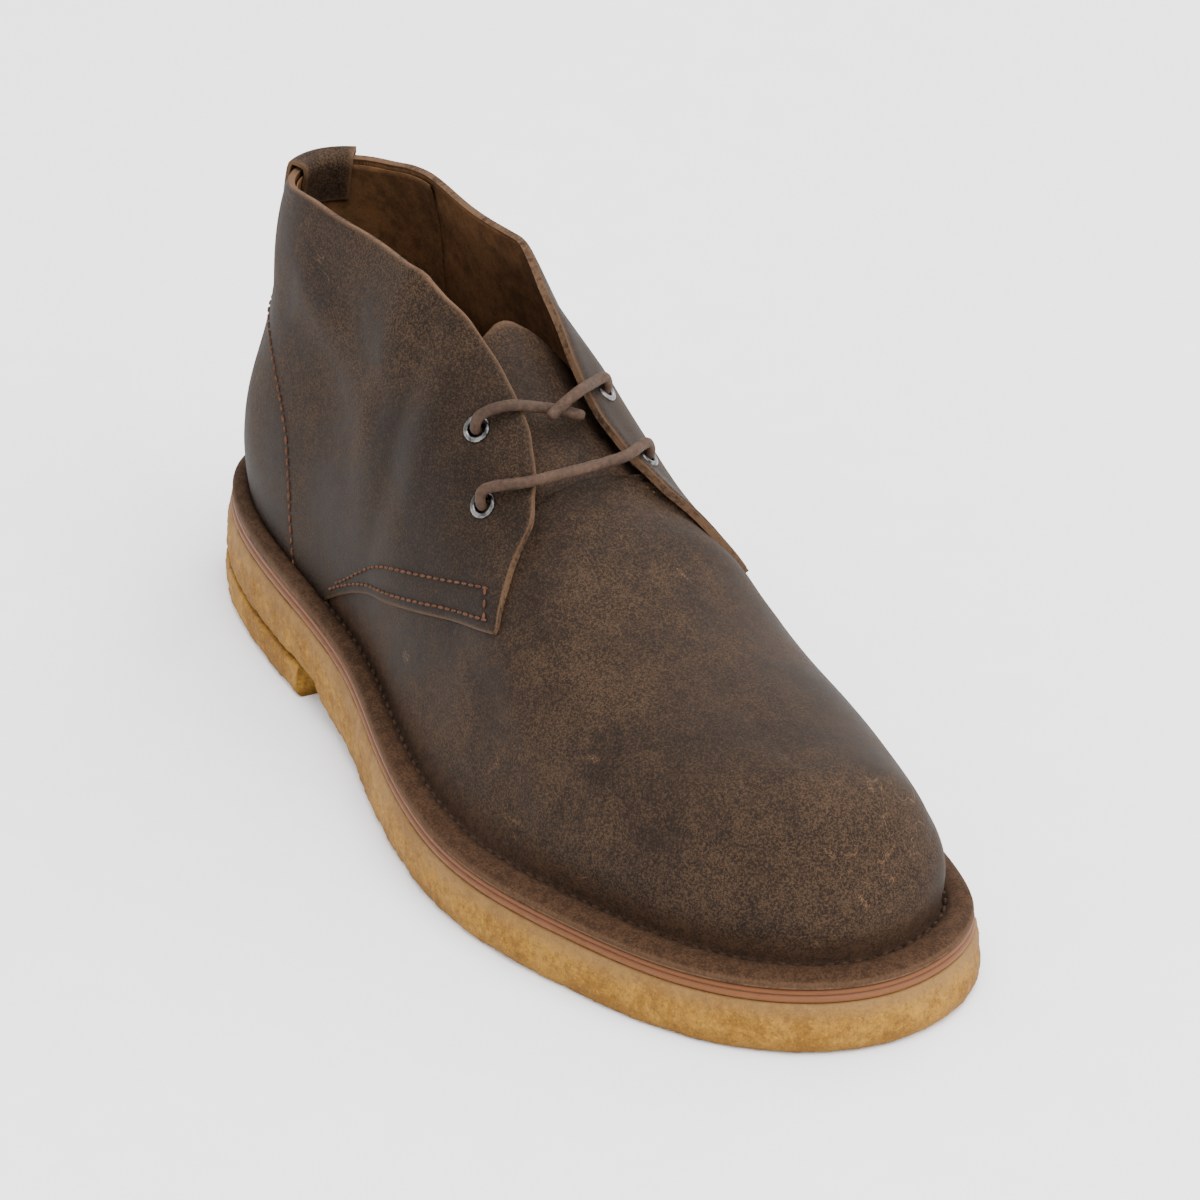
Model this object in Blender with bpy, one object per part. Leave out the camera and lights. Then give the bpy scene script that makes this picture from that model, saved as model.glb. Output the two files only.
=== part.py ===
"""Right desert boot on a crepe sole, one solid for each piece of the real boot."""

import math

import bmesh
import bpy
import numpy as np

MM = 0.001

# Driving sizes in mm, x from the heel back to the toe, y to the inner side, z up
LENGTH = 305.0
WIDTH = 110.0
COLLAR_HEIGHT = 123.0
MIDSOLE = 3.2
HEEL_STACK = 23.0
FORE_STACK = 13.6
HEEL_LIFT = 8.6
CLEAR = 0.3
VAMP_WALL = 1.6
QUARTER_WALL = 1.3
OVERLAP = 0.8
INSOLE = 2.5
TONGUE = 1.6
EYELET_OUTER = 7.2
EYELET_HOLE = 4.2
EYELET_WALL = 0.35
EYELET_RIM = 0.5
LACE = 2.8
CROSSING = 0.9
TAB_WIDTH = 17.0
TAB_DROP = 12.0
TAB_WALL = 1.0
TAB_ARCH = 0.25
TAB_EASE = 0.3
TAB_SHOULDER = 0.5
CREPE_PROUD = 1.0
FLANGE_BACK = 1.0
FLANGE_ROLL = 1.0

# Points round one side, rows across the flange and up the wall
SIDE_POINTS = 48
FLANGE_ROWS = 4
WALL_ROWS = 11

# Plan of the sole: share of length, outer and inner half widths as shares of width
PLAN = [
    (0.020, 0.164, 0.165), (0.066, 0.268, 0.267), (0.148, 0.339, 0.333), (0.262, 0.373, 0.348),
    (0.377, 0.398, 0.295), (0.492, 0.470, 0.330), (0.607, 0.525, 0.435), (0.705, 0.518, 0.474),
    (0.803, 0.444, 0.464), (0.885, 0.352, 0.436), (0.944, 0.240, 0.378), (0.984, 0.095, 0.252),
]
TOE_TIP = 0.075

# Flange width: share of length, outer side and inner side as shares of width
FLANGE = [
    (0.0, 0.0591, 0.0591), (0.35, 0.0655, 0.0636), (0.52, 0.0727, 0.0636), (0.66, 0.0891, 0.0655),
    (0.78, 0.1045, 0.0691), (0.90, 0.1073, 0.0745), (1.0, 0.1, 0.1),
]

# Stack: share of length, top of the crepe, underside of the crepe between heel and fore stack
STACK = [
    (0.0, 1.0, 1.0), (0.20, 1.0, 1.0), (0.27, 0.95, 1.0), (0.312, 0.87, 1.0), (0.34, 0.80, 0.42),
    (0.40, 0.62, 0.20), (0.46, 0.40, 0.04), (0.50, 0.27, 0.0), (0.56, 0.12, 0.0), (0.66, 0.0, 0.0),
    (0.90, 0.0, 0.0), (1.0, 0.02, 0.04),
]

# Sections: share of length, ridge height as share of collar height, two curve powers,
# bulge as share of width, waist
SECTION = [
    (0.00, 1.218, 1.70, 1.74, 0.0267, 0.167), (0.15, 1.177, 1.825, 1.656, 0.0127, 0.111),
    (0.32, 1.167, 1.77, 1.59, 0.0091, 0.006), (0.37, 1.084, 1.745, 1.514, 0.0073, 0.0),
    (0.425, 0.930, 2.3, 1.9, 0.0073, 0.0), (0.49, 0.804, 2.5, 2.0, 0.0073, 0.0),
    (0.535, 0.733, 2.7, 2.0, 0.0073, 0.0), (0.60, 0.653, 3.1, 2.0, 0.0073, 0.0),
    (0.64, 0.599, 3.1, 2.0, 0.0073, 0.0), (0.70, 0.541, 3.0, 2.0, 0.0073, 0.0),
    (0.76, 0.510, 3.0, 2.1, 0.0091, 0.0), (0.82, 0.483, 3.0, 2.2, 0.0109, 0.0),
    (1.00, 0.454, 3.0, 2.2, 0.0127, 0.0),
]
WAIST_AT = 0.40
WAIST_SPREAD = 0.20

# Body of the foot above the feather line: share of length, half width as share of width, weight
BODY = [
    (0.12, 0.351, 0.375), (0.24, 0.260, 0.8), (0.37, 0.331, 1.0), (0.51, 0.3455, 1.0), (0.60, 0.3818, 1.0),
    (0.70, 0.4, 0.9), (0.82, 0.3818, 0.0), (1.0, 0.3818, 0.0),
]
SPINE_HEEL = 0.123
SPINE_BACK = 0.24
SPINE_BALL = 0.66
SPINE_TOE = 0.862
RIDGE_DRIFT = 0.0122

# Top line: share of length, share of collar height
COLLAR = [
    (0.0, 0.936), (0.062, 0.938), (0.096, 0.9443), (0.13, 0.9625), (0.161, 0.974), (0.202, 0.9773),
    (0.26, 0.987), (0.33, 1.0),
]

# Front edge of a quarter: share of length, half width from the ridge as share of width
FRONT = [
    (0.33, 0.139), (0.355, 0.1277), (0.383, 0.1124), (0.413, 0.0949), (0.445, 0.0807), (0.47, 0.0786),
    (0.491, 0.0826), (0.506, 0.0957), (0.521, 0.11), (0.535, 0.1345), (0.552, 0.1636), (0.568, 0.2409),
    (0.580, 0.2818), (0.597, 0.3236),
]
CORNER_BLEND = 0.05
THROAT = 0.535
TOP_STEP = 0.7
QUARTER_STATIONS = [
    0.0, 0.008, 0.03, 0.065, 0.10, 0.14, 0.18, 0.22, 0.26, 0.29, 0.32, 0.346, 0.37, 0.395, 0.423, 0.45,
    0.475, 0.50, 0.517, 0.532, 0.542, 0.552, 0.560, 0.568, 0.574, 0.580, 0.588,
]
QUARTER_ROWS = 9
TONGUE_ROOT = 0.60
TONGUE_TOP = 0.413
TONGUE_LEAN = 5.6
TONGUE_HALF = 0.182
TONGUE_CLEAR = 0.5
TONGUE_SINK = 0.7
TONGUE_ROWS = 12
TONGUE_COLUMNS = 13
TAB_COLUMNS = 9
BREAST = 0.285
HEEL_POINTS = 16

# Lower edge of a quarter: share of length, height above ground as share of collar height
LOWER = [
    (0.29, 0.222), (0.32, 0.2705), (0.374, 0.3407), (0.43, 0.3862), (0.48, 0.4233), (0.53, 0.4595),
    (0.60, 0.5059),
]

# Eyelets: share of length, half width from the ridge as share of width
EYELETS = {
    "upper_outer": (0.4625, 0.1697), "upper_inner": (0.462, 0.142),
    "lower_outer": (0.507, 0.2184), "lower_inner": (0.515, 0.170),
}

# Lace bar: share of the way across from the outer eyelet, forward bow as share of length
BAR = [(0.22, 0.019), (0.36, 0.026), (0.50, 0.028), (0.64, 0.026), (0.78, 0.019)]
LACE_SINK = 0.6
LACE_NECK = 2.3
LACE_TURN = 2.4
LACE_OVER = 0.4
LACE_DIP = 2.2
LACE_REST = 1.2


def table(rows, column, x):
    """Monotone cubic through one column of a table."""
    xs = np.array([row[0] for row in rows])
    ys = np.array([row[column] for row in rows])
    step = np.diff(xs)
    rise = np.diff(ys) / step
    slope = np.zeros_like(ys)
    product = rise[:-1] * rise[1:]
    total = np.where(product > 0, rise[:-1] + rise[1:], 1.0)
    slope[1:-1] = np.where(product > 0, 2 * product / total, 0.0)
    slope[0], slope[-1] = rise[0], rise[-1]
    x = np.clip(np.asarray(x, float), xs[0], xs[-1])
    k = np.clip(np.searchsorted(xs, x) - 1, 0, len(step) - 1)
    t = (x - xs[k]) / step[k]
    return (
        ys[k] * (1 + 2 * t) * (1 - t) ** 2 + ys[k + 1] * t * t * (3 - 2 * t)
        + step[k] * (slope[k] * t * (1 - t) ** 2 - slope[k + 1] * t * t * (1 - t))
    )


def closed_curve(points, per_span):
    """Smooth closed curve through points, with even speed at each one."""
    p = np.array(points, float)
    n = len(p)
    d = np.sqrt(np.linalg.norm(np.roll(p, -1, 0) - p, axis=1))
    system = np.zeros((n, n))
    right = np.zeros((n, 2))
    for i in range(n):
        a, b = d[i - 1], d[i]
        system[i, i - 1] += b
        system[i, i] += 2 * (a + b)
        system[i, (i + 1) % n] += a
        right[i] = 3 * (a * (p[(i + 1) % n] - p[i]) / b + b * (p[i] - p[i - 1]) / a)
    tangent = np.linalg.solve(system, right)
    t = np.linspace(0, 1, per_span, endpoint=False)[:, None]
    spans = []
    for i in range(n):
        q, m0, m1 = p[(i + 1) % n], tangent[i] * d[i], tangent[(i + 1) % n] * d[i]
        spans.append(p[i] * (1 + 2 * t) * (1 - t) ** 2 + q * t * t * (3 - 2 * t)
                     + m0 * t * (1 - t) ** 2 - m1 * t * t * (1 - t))
    return np.vstack(spans)


def plan_halves():
    """Outer and inner half of the sole plan, each from heel back to toe tip."""
    outer = [(r[0] * LENGTH, -r[1] * WIDTH) for r in PLAN]
    inner = [(r[0] * LENGTH, r[2] * WIDTH) for r in PLAN]
    tip = (LENGTH, TOE_TIP * WIDTH)
    per_span = 40
    curve = closed_curve([(0.0, 0.0)] + outer + [tip] + inner[::-1], per_span)
    ahead = np.roll(curve, -1, 0) - np.roll(curve, 1, 0)
    normal = np.stack([ahead[:, 1], -ahead[:, 0]], 1)
    normal /= np.linalg.norm(normal, axis=1)[:, None]
    turn = (len(outer) + 1) * per_span
    halves = {}
    loop = np.vstack([curve, curve[:1]])
    loop_normal = np.vstack([normal, normal[:1]])
    for side, part, part_normal in ((-1, loop[:turn + 1], loop_normal[:turn + 1]),
                                    (1, loop[turn:][::-1], loop_normal[turn:][::-1])):
        run = np.r_[0, np.cumsum(np.linalg.norm(np.diff(part, axis=0), axis=1))]
        halves[side] = (run / run[-1], part, part_normal)
    return halves


HALVES = plan_halves()
EVERY = np.vstack([HALVES[-1][1], HALVES[1][1]])
MIDDLE_Y = (EVERY[:, 1].max() + EVERY[:, 1].min()) / 2


def plan(side, tau, inset):
    """Point of the sole plan at a share of one side's run, moved inward."""
    share, part, normal = HALVES[side]
    tau = np.asarray(tau, float)
    x, y = (np.interp(tau, share, part[:, k]) for k in (0, 1))
    nx, ny = (np.interp(tau, share, normal[:, k]) for k in (0, 1))
    size = np.sqrt(nx * nx + ny * ny)
    return x - inset * nx / size, y - inset * ny / size


def crepe_top(x):
    """Height of the top of the crepe."""
    return FORE_STACK + (HEEL_STACK - FORE_STACK) * table(STACK, 1, x / LENGTH)


def crepe_under(x):
    """Height of the underside of the crepe sheet."""
    return HEEL_LIFT * table(STACK, 2, x / LENGTH)


def bed(x):
    """Height the flange rests at, on the midsole."""
    return crepe_top(x) + MIDSOLE + 2 * CLEAR


def flange_width(side, x):
    """Width of the flange from the sole's edge to the crease."""
    return WIDTH * table(FLANGE, 1 if side < 0 else 2, x / LENGTH)


def spine_x(tau):
    """Station on the last's spine that a share of the side's run leans to."""
    tau = np.asarray(tau, float)
    share = HALVES[-1][0]
    xs = HALVES[-1][1][:, 0]
    back = np.interp(SPINE_BACK * LENGTH, xs, share)
    ball = np.interp(SPINE_BALL * LENGTH, xs, share)
    middle = np.interp(tau, share, xs)
    low = np.clip(tau / back, 0, 1)
    high = np.clip((tau - ball) / (1 - ball), 0, 1)
    rear = (SPINE_HEEL + (SPINE_BACK - SPINE_HEEL) * low ** 2) * LENGTH
    front = (SPINE_BALL + (SPINE_TOE - SPINE_BALL) * (2 * high - high ** 2)) * LENGTH
    return np.where(tau < back, rear, np.where(tau > ball, front, middle))


def skin(side, tau, phi):
    """Outer face of the vamp: side, share of the side's run, climb from 0 to a quarter turn."""
    tau, phi = np.broadcast_arrays(np.asarray(tau, float), np.asarray(phi, float))
    edge_x, _ = plan(side, tau, 0.0)
    fx, fy = plan(side, tau, flange_width(side, edge_x))
    sx = spine_x(tau)
    share = sx / LENGTH
    near = np.clip(edge_x / LENGTH, 0, 1)
    ridge = COLLAR_HEIGHT * table(SECTION, 1, share)
    power_up = table(SECTION, 2, near)
    power_in = table(SECTION, 3, near)
    bulge = WIDTH * table(SECTION, 4, near)
    base = bed(edge_x) + VAMP_WALL
    v = np.sin(phi) ** (2 / power_up)
    u = 1 - np.maximum(np.cos(phi), 0.0) ** (2 / power_in)
    sy = sx * RIDGE_DRIFT
    reach = np.sqrt((sx - fx) ** 2 + (sy - fy) ** 2)
    body = WIDTH * table(BODY, 1, share)
    weight = table(BODY, 2, share)
    girth = reach + (body - reach) * weight
    u = 1 - ((1 - u) * girth + (reach - girth) * (1 - v) ** 3) / reach
    swell = bulge / reach * np.sin(math.pi * np.clip(v / 0.5, 0, 1))
    waist = table(SECTION, 5, near) * np.exp(-((v - WAIST_AT) / WAIST_SPREAD) ** 2)
    u = u - swell + waist * np.clip(v / 0.15, 0, 1)
    return np.stack([fx + (sx - fx) * u, fy + (sy - fy) * u, base + (ridge - base) * v], -1)


def solve(side, tau, error):
    """Climb at which the error of each skin point turns from negative to positive."""
    tau = np.asarray(tau, float)
    low, high = np.zeros_like(tau), np.full_like(tau, math.pi / 2)
    for _ in range(30):
        middle = (low + high) / 2
        under = error(skin(side, tau, middle)) < 0
        low, high = np.where(under, middle, low), np.where(under, high, middle)
    return (low + high) / 2


def from_ridge(point):
    """Half width of a point from the ridge line."""
    return np.abs(point[..., 1] - point[..., 0] * RIDGE_DRIFT)


def top_climb(side, tau, lower=0.0):
    """Climb of the top line or front edge above shares of the run."""
    def error(point):
        share = point[..., 0] / LENGTH
        collar = point[..., 2] - COLLAR_HEIGHT * table(COLLAR, 1, share) + lower
        front = WIDTH * table(FRONT, 1, share) + lower - from_ridge(point)
        t = np.clip((share - FRONT[0][0]) / CORNER_BLEND + 0.5, 0, 1)
        return collar + (front - collar) * t * t * (3 - 2 * t)
    return solve(side, tau, error)


def low_climb(side, tau):
    """Climb of the quarter's lower edge above shares of the run."""
    found = solve(side, tau, lambda p: p[..., 2] - COLLAR_HEIGHT * table(LOWER, 1, p[..., 0] / LENGTH))
    return np.where(plan(side, tau, 0.0)[0] < LOWER[0][0] * LENGTH, 0.0, found)


def tau_at(side, station):
    """Share of the side's run at a share of the length."""
    share, part, _ = HALVES[side]
    return np.interp(np.asarray(station, float) * LENGTH, part[:, 0], share)


def place(point):
    """Shoe sizes in mm to the part's frame in metres."""
    p = np.asarray(point, float)
    return (p - np.array([LENGTH / 2, MIDDLE_Y, 0.0])) * MM


def material(name, colour, roughness, metallic=0.0):
    """Plain material of one piece."""
    made = bpy.data.materials.new(name)
    made.use_nodes = True
    shader = made.node_tree.nodes["Principled BSDF"]
    shader.inputs["Base Color"].default_value = (*colour, 1.0)
    shader.inputs["Roughness"].default_value = roughness
    shader.inputs["Metallic"].default_value = metallic
    return made


def add(name, vertices, faces, paint, smooth=True):
    """Object from points in mm and faces, with outward normals."""
    mesh = bpy.data.meshes.new(name)
    mesh.from_pydata([tuple(place(v)) for v in vertices], [], [tuple(f) for f in faces])
    work = bmesh.new()
    work.from_mesh(mesh)
    bmesh.ops.remove_doubles(work, verts=work.verts, dist=0.00001)
    bmesh.ops.recalc_face_normals(work, faces=work.faces)
    work.to_mesh(mesh)
    work.free()
    mesh.materials.append(paint)
    made = bpy.data.objects.new(name, mesh)
    bpy.context.scene.collection.objects.link(made)
    for face in mesh.polygons:
        face.use_smooth = smooth
    return made


def bake(made):
    """Replace an object's mesh by its evaluated one and drop the modifiers."""
    bpy.context.view_layer.update()
    graph = bpy.context.evaluated_depsgraph_get()
    baked = bpy.data.meshes.new_from_object(made.evaluated_get(graph))
    made.modifiers.clear()
    made.data = baked
    return made


def boolean(made, cutter, operation):
    """Exact boolean with a cutter that is then removed."""
    cutter.hide_render = True
    cutter.display_type = "WIRE"
    step = made.modifiers.new("Cut", "BOOLEAN")
    step.operation = operation
    step.solver = "EXACT"
    step.object = cutter
    bake(made)
    bpy.data.objects.remove(cutter)


def ring(inset, height):
    """Points round the sole plan; inset in mm follows side and x, height follows x."""
    tau = np.linspace(0, 1, SIDE_POINTS + 1)
    points = []
    for side, run in ((-1, tau), (1, tau[-2:0:-1])):
        edge_x, _ = plan(side, run, 0.0)
        x, y = plan(side, run, inset(side, edge_x) if callable(inset) else inset)
        points.append(np.stack([x, y, height(x)], 1))
    return np.vstack(points)


def last_inset(extra):
    """Inset of the feather line and some more, as a function of side and x."""
    return lambda side, x: flange_width(side, x) + extra


def prism(name, rings, paint):
    """Closed solid through rings of one point count, with strips over both ends."""
    count = len(rings[0])
    vertices = np.vstack(rings)
    faces = []
    for r in range(len(rings) - 1):
        for k in range(count):
            n = (k + 1) % count
            faces.append((r * count + k, r * count + n, (r + 1) * count + n, (r + 1) * count + k))
    for start in (0, (len(rings) - 1) * count):
        for k in range(count // 2):
            a, b = k, k + 1
            d, c = (count - k) % count, count - k - 1
            face = [start + a, start + b, start + c, start + d]
            faces.append(list(dict.fromkeys(face)))
    return add(name, vertices, faces, paint)


def weld(points, faces):
    """Points with the same place joined, and the faces that are left."""
    keys = np.round(np.asarray(points, float), 4)
    _, first, index = np.unique(keys, axis=0, return_index=True, return_inverse=True)
    index = index.ravel()
    kept = []
    for face in faces:
        corners = list(dict.fromkeys(int(index[k]) for k in face))
        if len(corners) > 2:
            kept.append(corners)
    return np.asarray(points, float)[first], kept, first


def vertex_normals(points, faces, outward):
    """Unit normals of points, from the faces round them, pointing away from the spine."""
    total = np.zeros_like(points)
    for face in faces:
        ring_points = points[face]
        cross = np.zeros(3)
        for k in range(1, len(face) - 1):
            cross += np.cross(ring_points[k] - ring_points[0], ring_points[k + 1] - ring_points[0])
        total[face] += cross
    total /= np.linalg.norm(total, axis=1)[:, None] + 1e-12
    if not outward:
        return total
    away = points - np.stack([np.clip(points[:, 0], 0.2 * LENGTH, 0.8 * LENGTH),
                              points[:, 0] * RIDGE_DRIFT, np.full(len(points), FORE_STACK)], 1)
    return total if (total * away).sum() > 0 else -total


def shell(name, points, faces, out, into, paint, seat=None, away=True):
    """Closed wall either side of a sheet; seat gives the inner place of some points."""
    p, kept, first = weld(points, faces)
    normal = vertex_normals(p, kept, away)
    outer = p + normal * out
    inner = p - normal * into
    if seat is not None:
        fixed = np.asarray(seat, float)[first]
        held = ~np.isnan(fixed[:, 0])
        inner[held] = fixed[held]
    count = len(p)
    both = [list(face) for face in kept]
    both += [[k + count for k in face[::-1]] for face in kept]
    used = {}
    for face in kept:
        for k in range(len(face)):
            edge = (face[k], face[(k + 1) % len(face)])
            used[edge] = True
    for a, b in used:
        if (b, a) not in used:
            both.append([b, a, a + count, b + count])
    return add(name, np.vstack([outer, inner]), both, paint)


def grid_faces(rows, count, closed=False):
    """Quads of a grid of rows by count points."""
    faces = []
    for r in range(rows - 1 if not closed else rows):
        for k in range(count - 1):
            n = (r + 1) % rows
            faces.append((r * count + k, n * count + k, n * count + k + 1, r * count + k + 1))
    return faces


def flange_points(side, tau):
    """Top of the flange from its outer edge in to the crease."""
    edge_x, _ = plan(side, tau, 0.0)
    width = float(flange_width(side, edge_x))
    points = []
    for share in np.linspace(0, 1, FLANGE_ROWS, endpoint=False):
        inset = FLANGE_BACK + (width - FLANGE_BACK) * share
        x, y = plan(side, tau, inset)
        lift = VAMP_WALL + FLANGE_ROLL * math.sin(math.pi * (0.08 + 0.84 * min(share * 1.25, 1.0)))
        points.append((float(x), float(y), float(bed(edge_x)) + lift))
    return points


def upper_sheet(paint):
    """Vamp and backing: flange, wall, top line and throat, in one solid."""
    grid = []
    seats = []
    run = np.linspace(0, 1, SIDE_POINTS + 1)
    for side, tau in ((-1, run), (1, run[-2:0:-1])):
        tops = np.where(spine_x(tau) < THROAT * LENGTH, top_climb(side, tau, TOP_STEP), math.pi / 2)
        edge_x, _ = plan(side, tau, 0.0)
        foot_x, foot_y = plan(side, tau, flange_width(side, edge_x) + VAMP_WALL)
        for k in range(len(tau)):
            wall = skin(side, tau[k], tops[k] * np.linspace(0, 1, WALL_ROWS + 1) ** 0.9)
            flange = np.array(flange_points(side, tau[k]))
            seat = np.full((len(flange) + len(wall), 3), np.nan)
            seat[:len(flange)] = flange
            seat[len(flange), :2] = foot_x[k], foot_y[k]
            seat[:len(flange) + 1, 2] = bed(edge_x[k]) + 0.05
            grid.append(np.vstack([flange, wall]))
            seats.append(seat)
    faces = grid_faces(len(grid), len(grid[0]), closed=True)
    return shell("upper", np.vstack(grid), faces, 0.0, VAMP_WALL, paint, np.vstack(seats))


def quarters(paint):
    """Both quarters as one lapped layer, from the outer corner round the heel to the inner."""
    grid = []
    stations = np.array(QUARTER_STATIONS)
    for side, order in ((-1, stations[::-1]), (1, stations[1:])):
        tau = tau_at(side, order)
        low = low_climb(side, tau)
        high = np.maximum(top_climb(side, tau), low + 0.03)
        for k in range(len(tau)):
            rows = skin(side, tau[k], np.linspace(low[k], high[k], QUARTER_ROWS))
            if low[k] == 0.0:
                rows[0, 2] -= OVERLAP
            grid.append(rows)
    faces = grid_faces(len(grid), QUARTER_ROWS)
    return shell("quarters", np.vstack(grid), faces, QUARTER_WALL, OVERLAP, paint)


def normals_at(side, tau, climb):
    """Outward unit normals of the skin."""
    along = skin(side, tau + 0.004, climb) - skin(side, np.maximum(tau - 0.004, 0.0), climb)
    up = skin(side, tau, np.minimum(climb + 0.01, math.pi / 2)) - skin(side, tau, climb - 0.01)
    normal = np.cross(along, up) * (-side)
    return normal / np.linalg.norm(normal, axis=-1)[..., None]


def frames(side, station, half):
    """Points of the skin and outward normals at stations and half widths from the ridge."""
    station, half = np.broadcast_arrays(np.asarray(station, float), np.asarray(half, float))
    tau = tau_at(side, station).copy()
    for _ in range(8):
        climb = solve(side, tau, lambda p: half - from_ridge(p))
        miss = station - skin(side, tau, climb)[..., 0] / LENGTH
        tau = tau + miss * 0.8
    climb = solve(side, tau, lambda p: half - from_ridge(p))
    return skin(side, tau, climb), normals_at(side, tau, climb)


def lathe(name, profile, centre, axis, paint, segments=20):
    """Solid of revolution of a closed profile of radius and height about an axis."""
    axis = axis / np.linalg.norm(axis)
    across = np.cross(axis, [1.0, 0.0, 0.0])
    across /= np.linalg.norm(across)
    other = np.cross(axis, across)
    points = []
    for k in range(segments):
        angle = 2 * math.pi * k / segments
        spoke = across * math.cos(angle) + other * math.sin(angle)
        points += [centre + spoke * r + axis * h for r, h in profile]
    count = len(profile)
    faces = []
    for k in range(segments):
        n = (k + 1) % segments
        for i in range(count):
            j = (i + 1) % count
            faces.append((k * count + i, n * count + i, n * count + j, k * count + j))
    return add(name, points, faces, paint)


def plug(name, radius, reach, centre, axis):
    """Round cutter along an axis."""
    axis = axis / np.linalg.norm(axis)
    across = np.cross(axis, [1.0, 0.0, 0.0])
    across /= np.linalg.norm(across)
    other = np.cross(axis, across)
    segments = 20
    points = []
    for k in range(segments):
        angle = 2 * math.pi * k / segments
        spoke = across * math.cos(angle) + other * math.sin(angle)
        points += [centre + spoke * radius + axis * reach, centre + spoke * radius - axis * reach]
    faces = []
    for k in range(segments):
        n = (k + 1) % segments
        faces.append((2 * k, 2 * k + 1, 2 * n + 1, 2 * n))
    faces.append([2 * k for k in range(segments)])
    faces.append([2 * k + 1 for k in range(segments)][::-1])
    cutter = bpy.data.meshes.new(name)
    cutter.from_pydata([tuple(place(v)) for v in points], [], faces)
    work = bmesh.new()
    work.from_mesh(cutter)
    bmesh.ops.recalc_face_normals(work, faces=work.faces)
    work.to_mesh(cutter)
    work.free()
    made = bpy.data.objects.new(name, cutter)
    bpy.context.scene.collection.objects.link(made)
    return made


def side_of(where):
    """Side of the boot that an eyelet's name stands for."""
    return -1 if where.endswith("outer") else 1


def eyelets(upper, paint):
    """Four ring eyelets and their holes in the upper."""
    barrel = EYELET_HOLE / 2 + EYELET_WALL
    hole = EYELET_HOLE / 2
    rim = EYELET_OUTER / 2
    round_off = EYELET_RIM * 0.7
    depth = VAMP_WALL + QUARTER_WALL
    for where, (station, half) in EYELETS.items():
        point, normal = frames(side_of(where), station, half * WIDTH)
        top = QUARTER_WALL + CLEAR
        profile = [(hole, top - depth - CLEAR), (barrel, top - depth - CLEAR), (barrel, top),
                   (rim, top), (rim - round_off, top + EYELET_RIM), (hole + round_off, top + EYELET_RIM),
                   (hole, top + EYELET_RIM / 2)]
        boolean(upper, plug("hole", barrel + CLEAR, 2 * depth, point, normal), "DIFFERENCE")
        lathe(f"eyelet_{where}", profile, point, normal, paint)


def tongue(paint):
    """Top of the vamp's tongue, under the quarters' front edges."""
    share = np.linspace(0, 1, TONGUE_ROWS)
    station = TONGUE_ROOT + (TONGUE_TOP - TONGUE_ROOT) * share
    end = np.clip((share - 0.72) / 0.285, 0, 1)
    half = WIDTH * TONGUE_HALF * np.sqrt(1 - end ** 2) * (1 + 0.25 * (1 - share))
    across = np.abs(np.linspace(-1, 1, TONGUE_COLUMNS))
    middle = TONGUE_COLUMNS // 2
    width = np.maximum(half[:, None] * across[None, :], 0.05)
    grid = np.zeros((TONGUE_ROWS, TONGUE_COLUMNS, 3))
    _, crown = frames(1, station, width[:, middle])
    lean = crown * TONGUE_LEAN * share[:, None] ** 2
    for side, part in ((-1, slice(0, middle)), (1, slice(middle, TONGUE_COLUMNS))):
        point, normal = frames(side, np.repeat(station[:, None], len(across[part]), 1), width[:, part])
        drop = VAMP_WALL + TONGUE_CLEAR + TONGUE_SINK * (1 - share[:, None, None]) ** 2
        grid[:, part] = point - normal * drop - lean[:, None]
    faces = grid_faces(TONGUE_ROWS, TONGUE_COLUMNS)
    return shell("tongue", grid.reshape(-1, 3), faces, 0.0, TONGUE, paint)


def heel_lift(paint):
    """Heel lift under the crepe, from the heel back to an upright breast."""
    stop = {side: tau_at(side, BREAST) for side in (-1, 1)}
    rings = []
    for inset, height in ((1.4, 0.0), (0.2, 1.6), (-CREPE_PROUD, None)):
        points = []
        for side in (-1, 1):
            run = stop[side] * np.linspace(0, 1, HEEL_POINTS + 1)
            x, y = plan(side, run, inset)
            z = crepe_under(x) - CLEAR if height is None else np.full_like(x, height)
            half = np.stack([x, y, z], 1)
            points.append(half if side < 0 else half[:0:-1])
        rings.append(np.vstack(points))
    count = len(rings[0])
    faces = []
    for r in range(len(rings) - 1):
        for k in range(count):
            n = (k + 1) % count
            faces.append((r * count + k, r * count + n, (r + 1) * count + n, (r + 1) * count + k))
    for start in (0, (len(rings) - 1) * count):
        for k in range(HEEL_POINTS):
            face = [start + k, start + k + 1, start + count - k - 1, start + (count - k) % count]
            faces.append(list(dict.fromkeys(face)))
    return add("heel_lift", np.vstack(rings), faces, paint)


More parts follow.
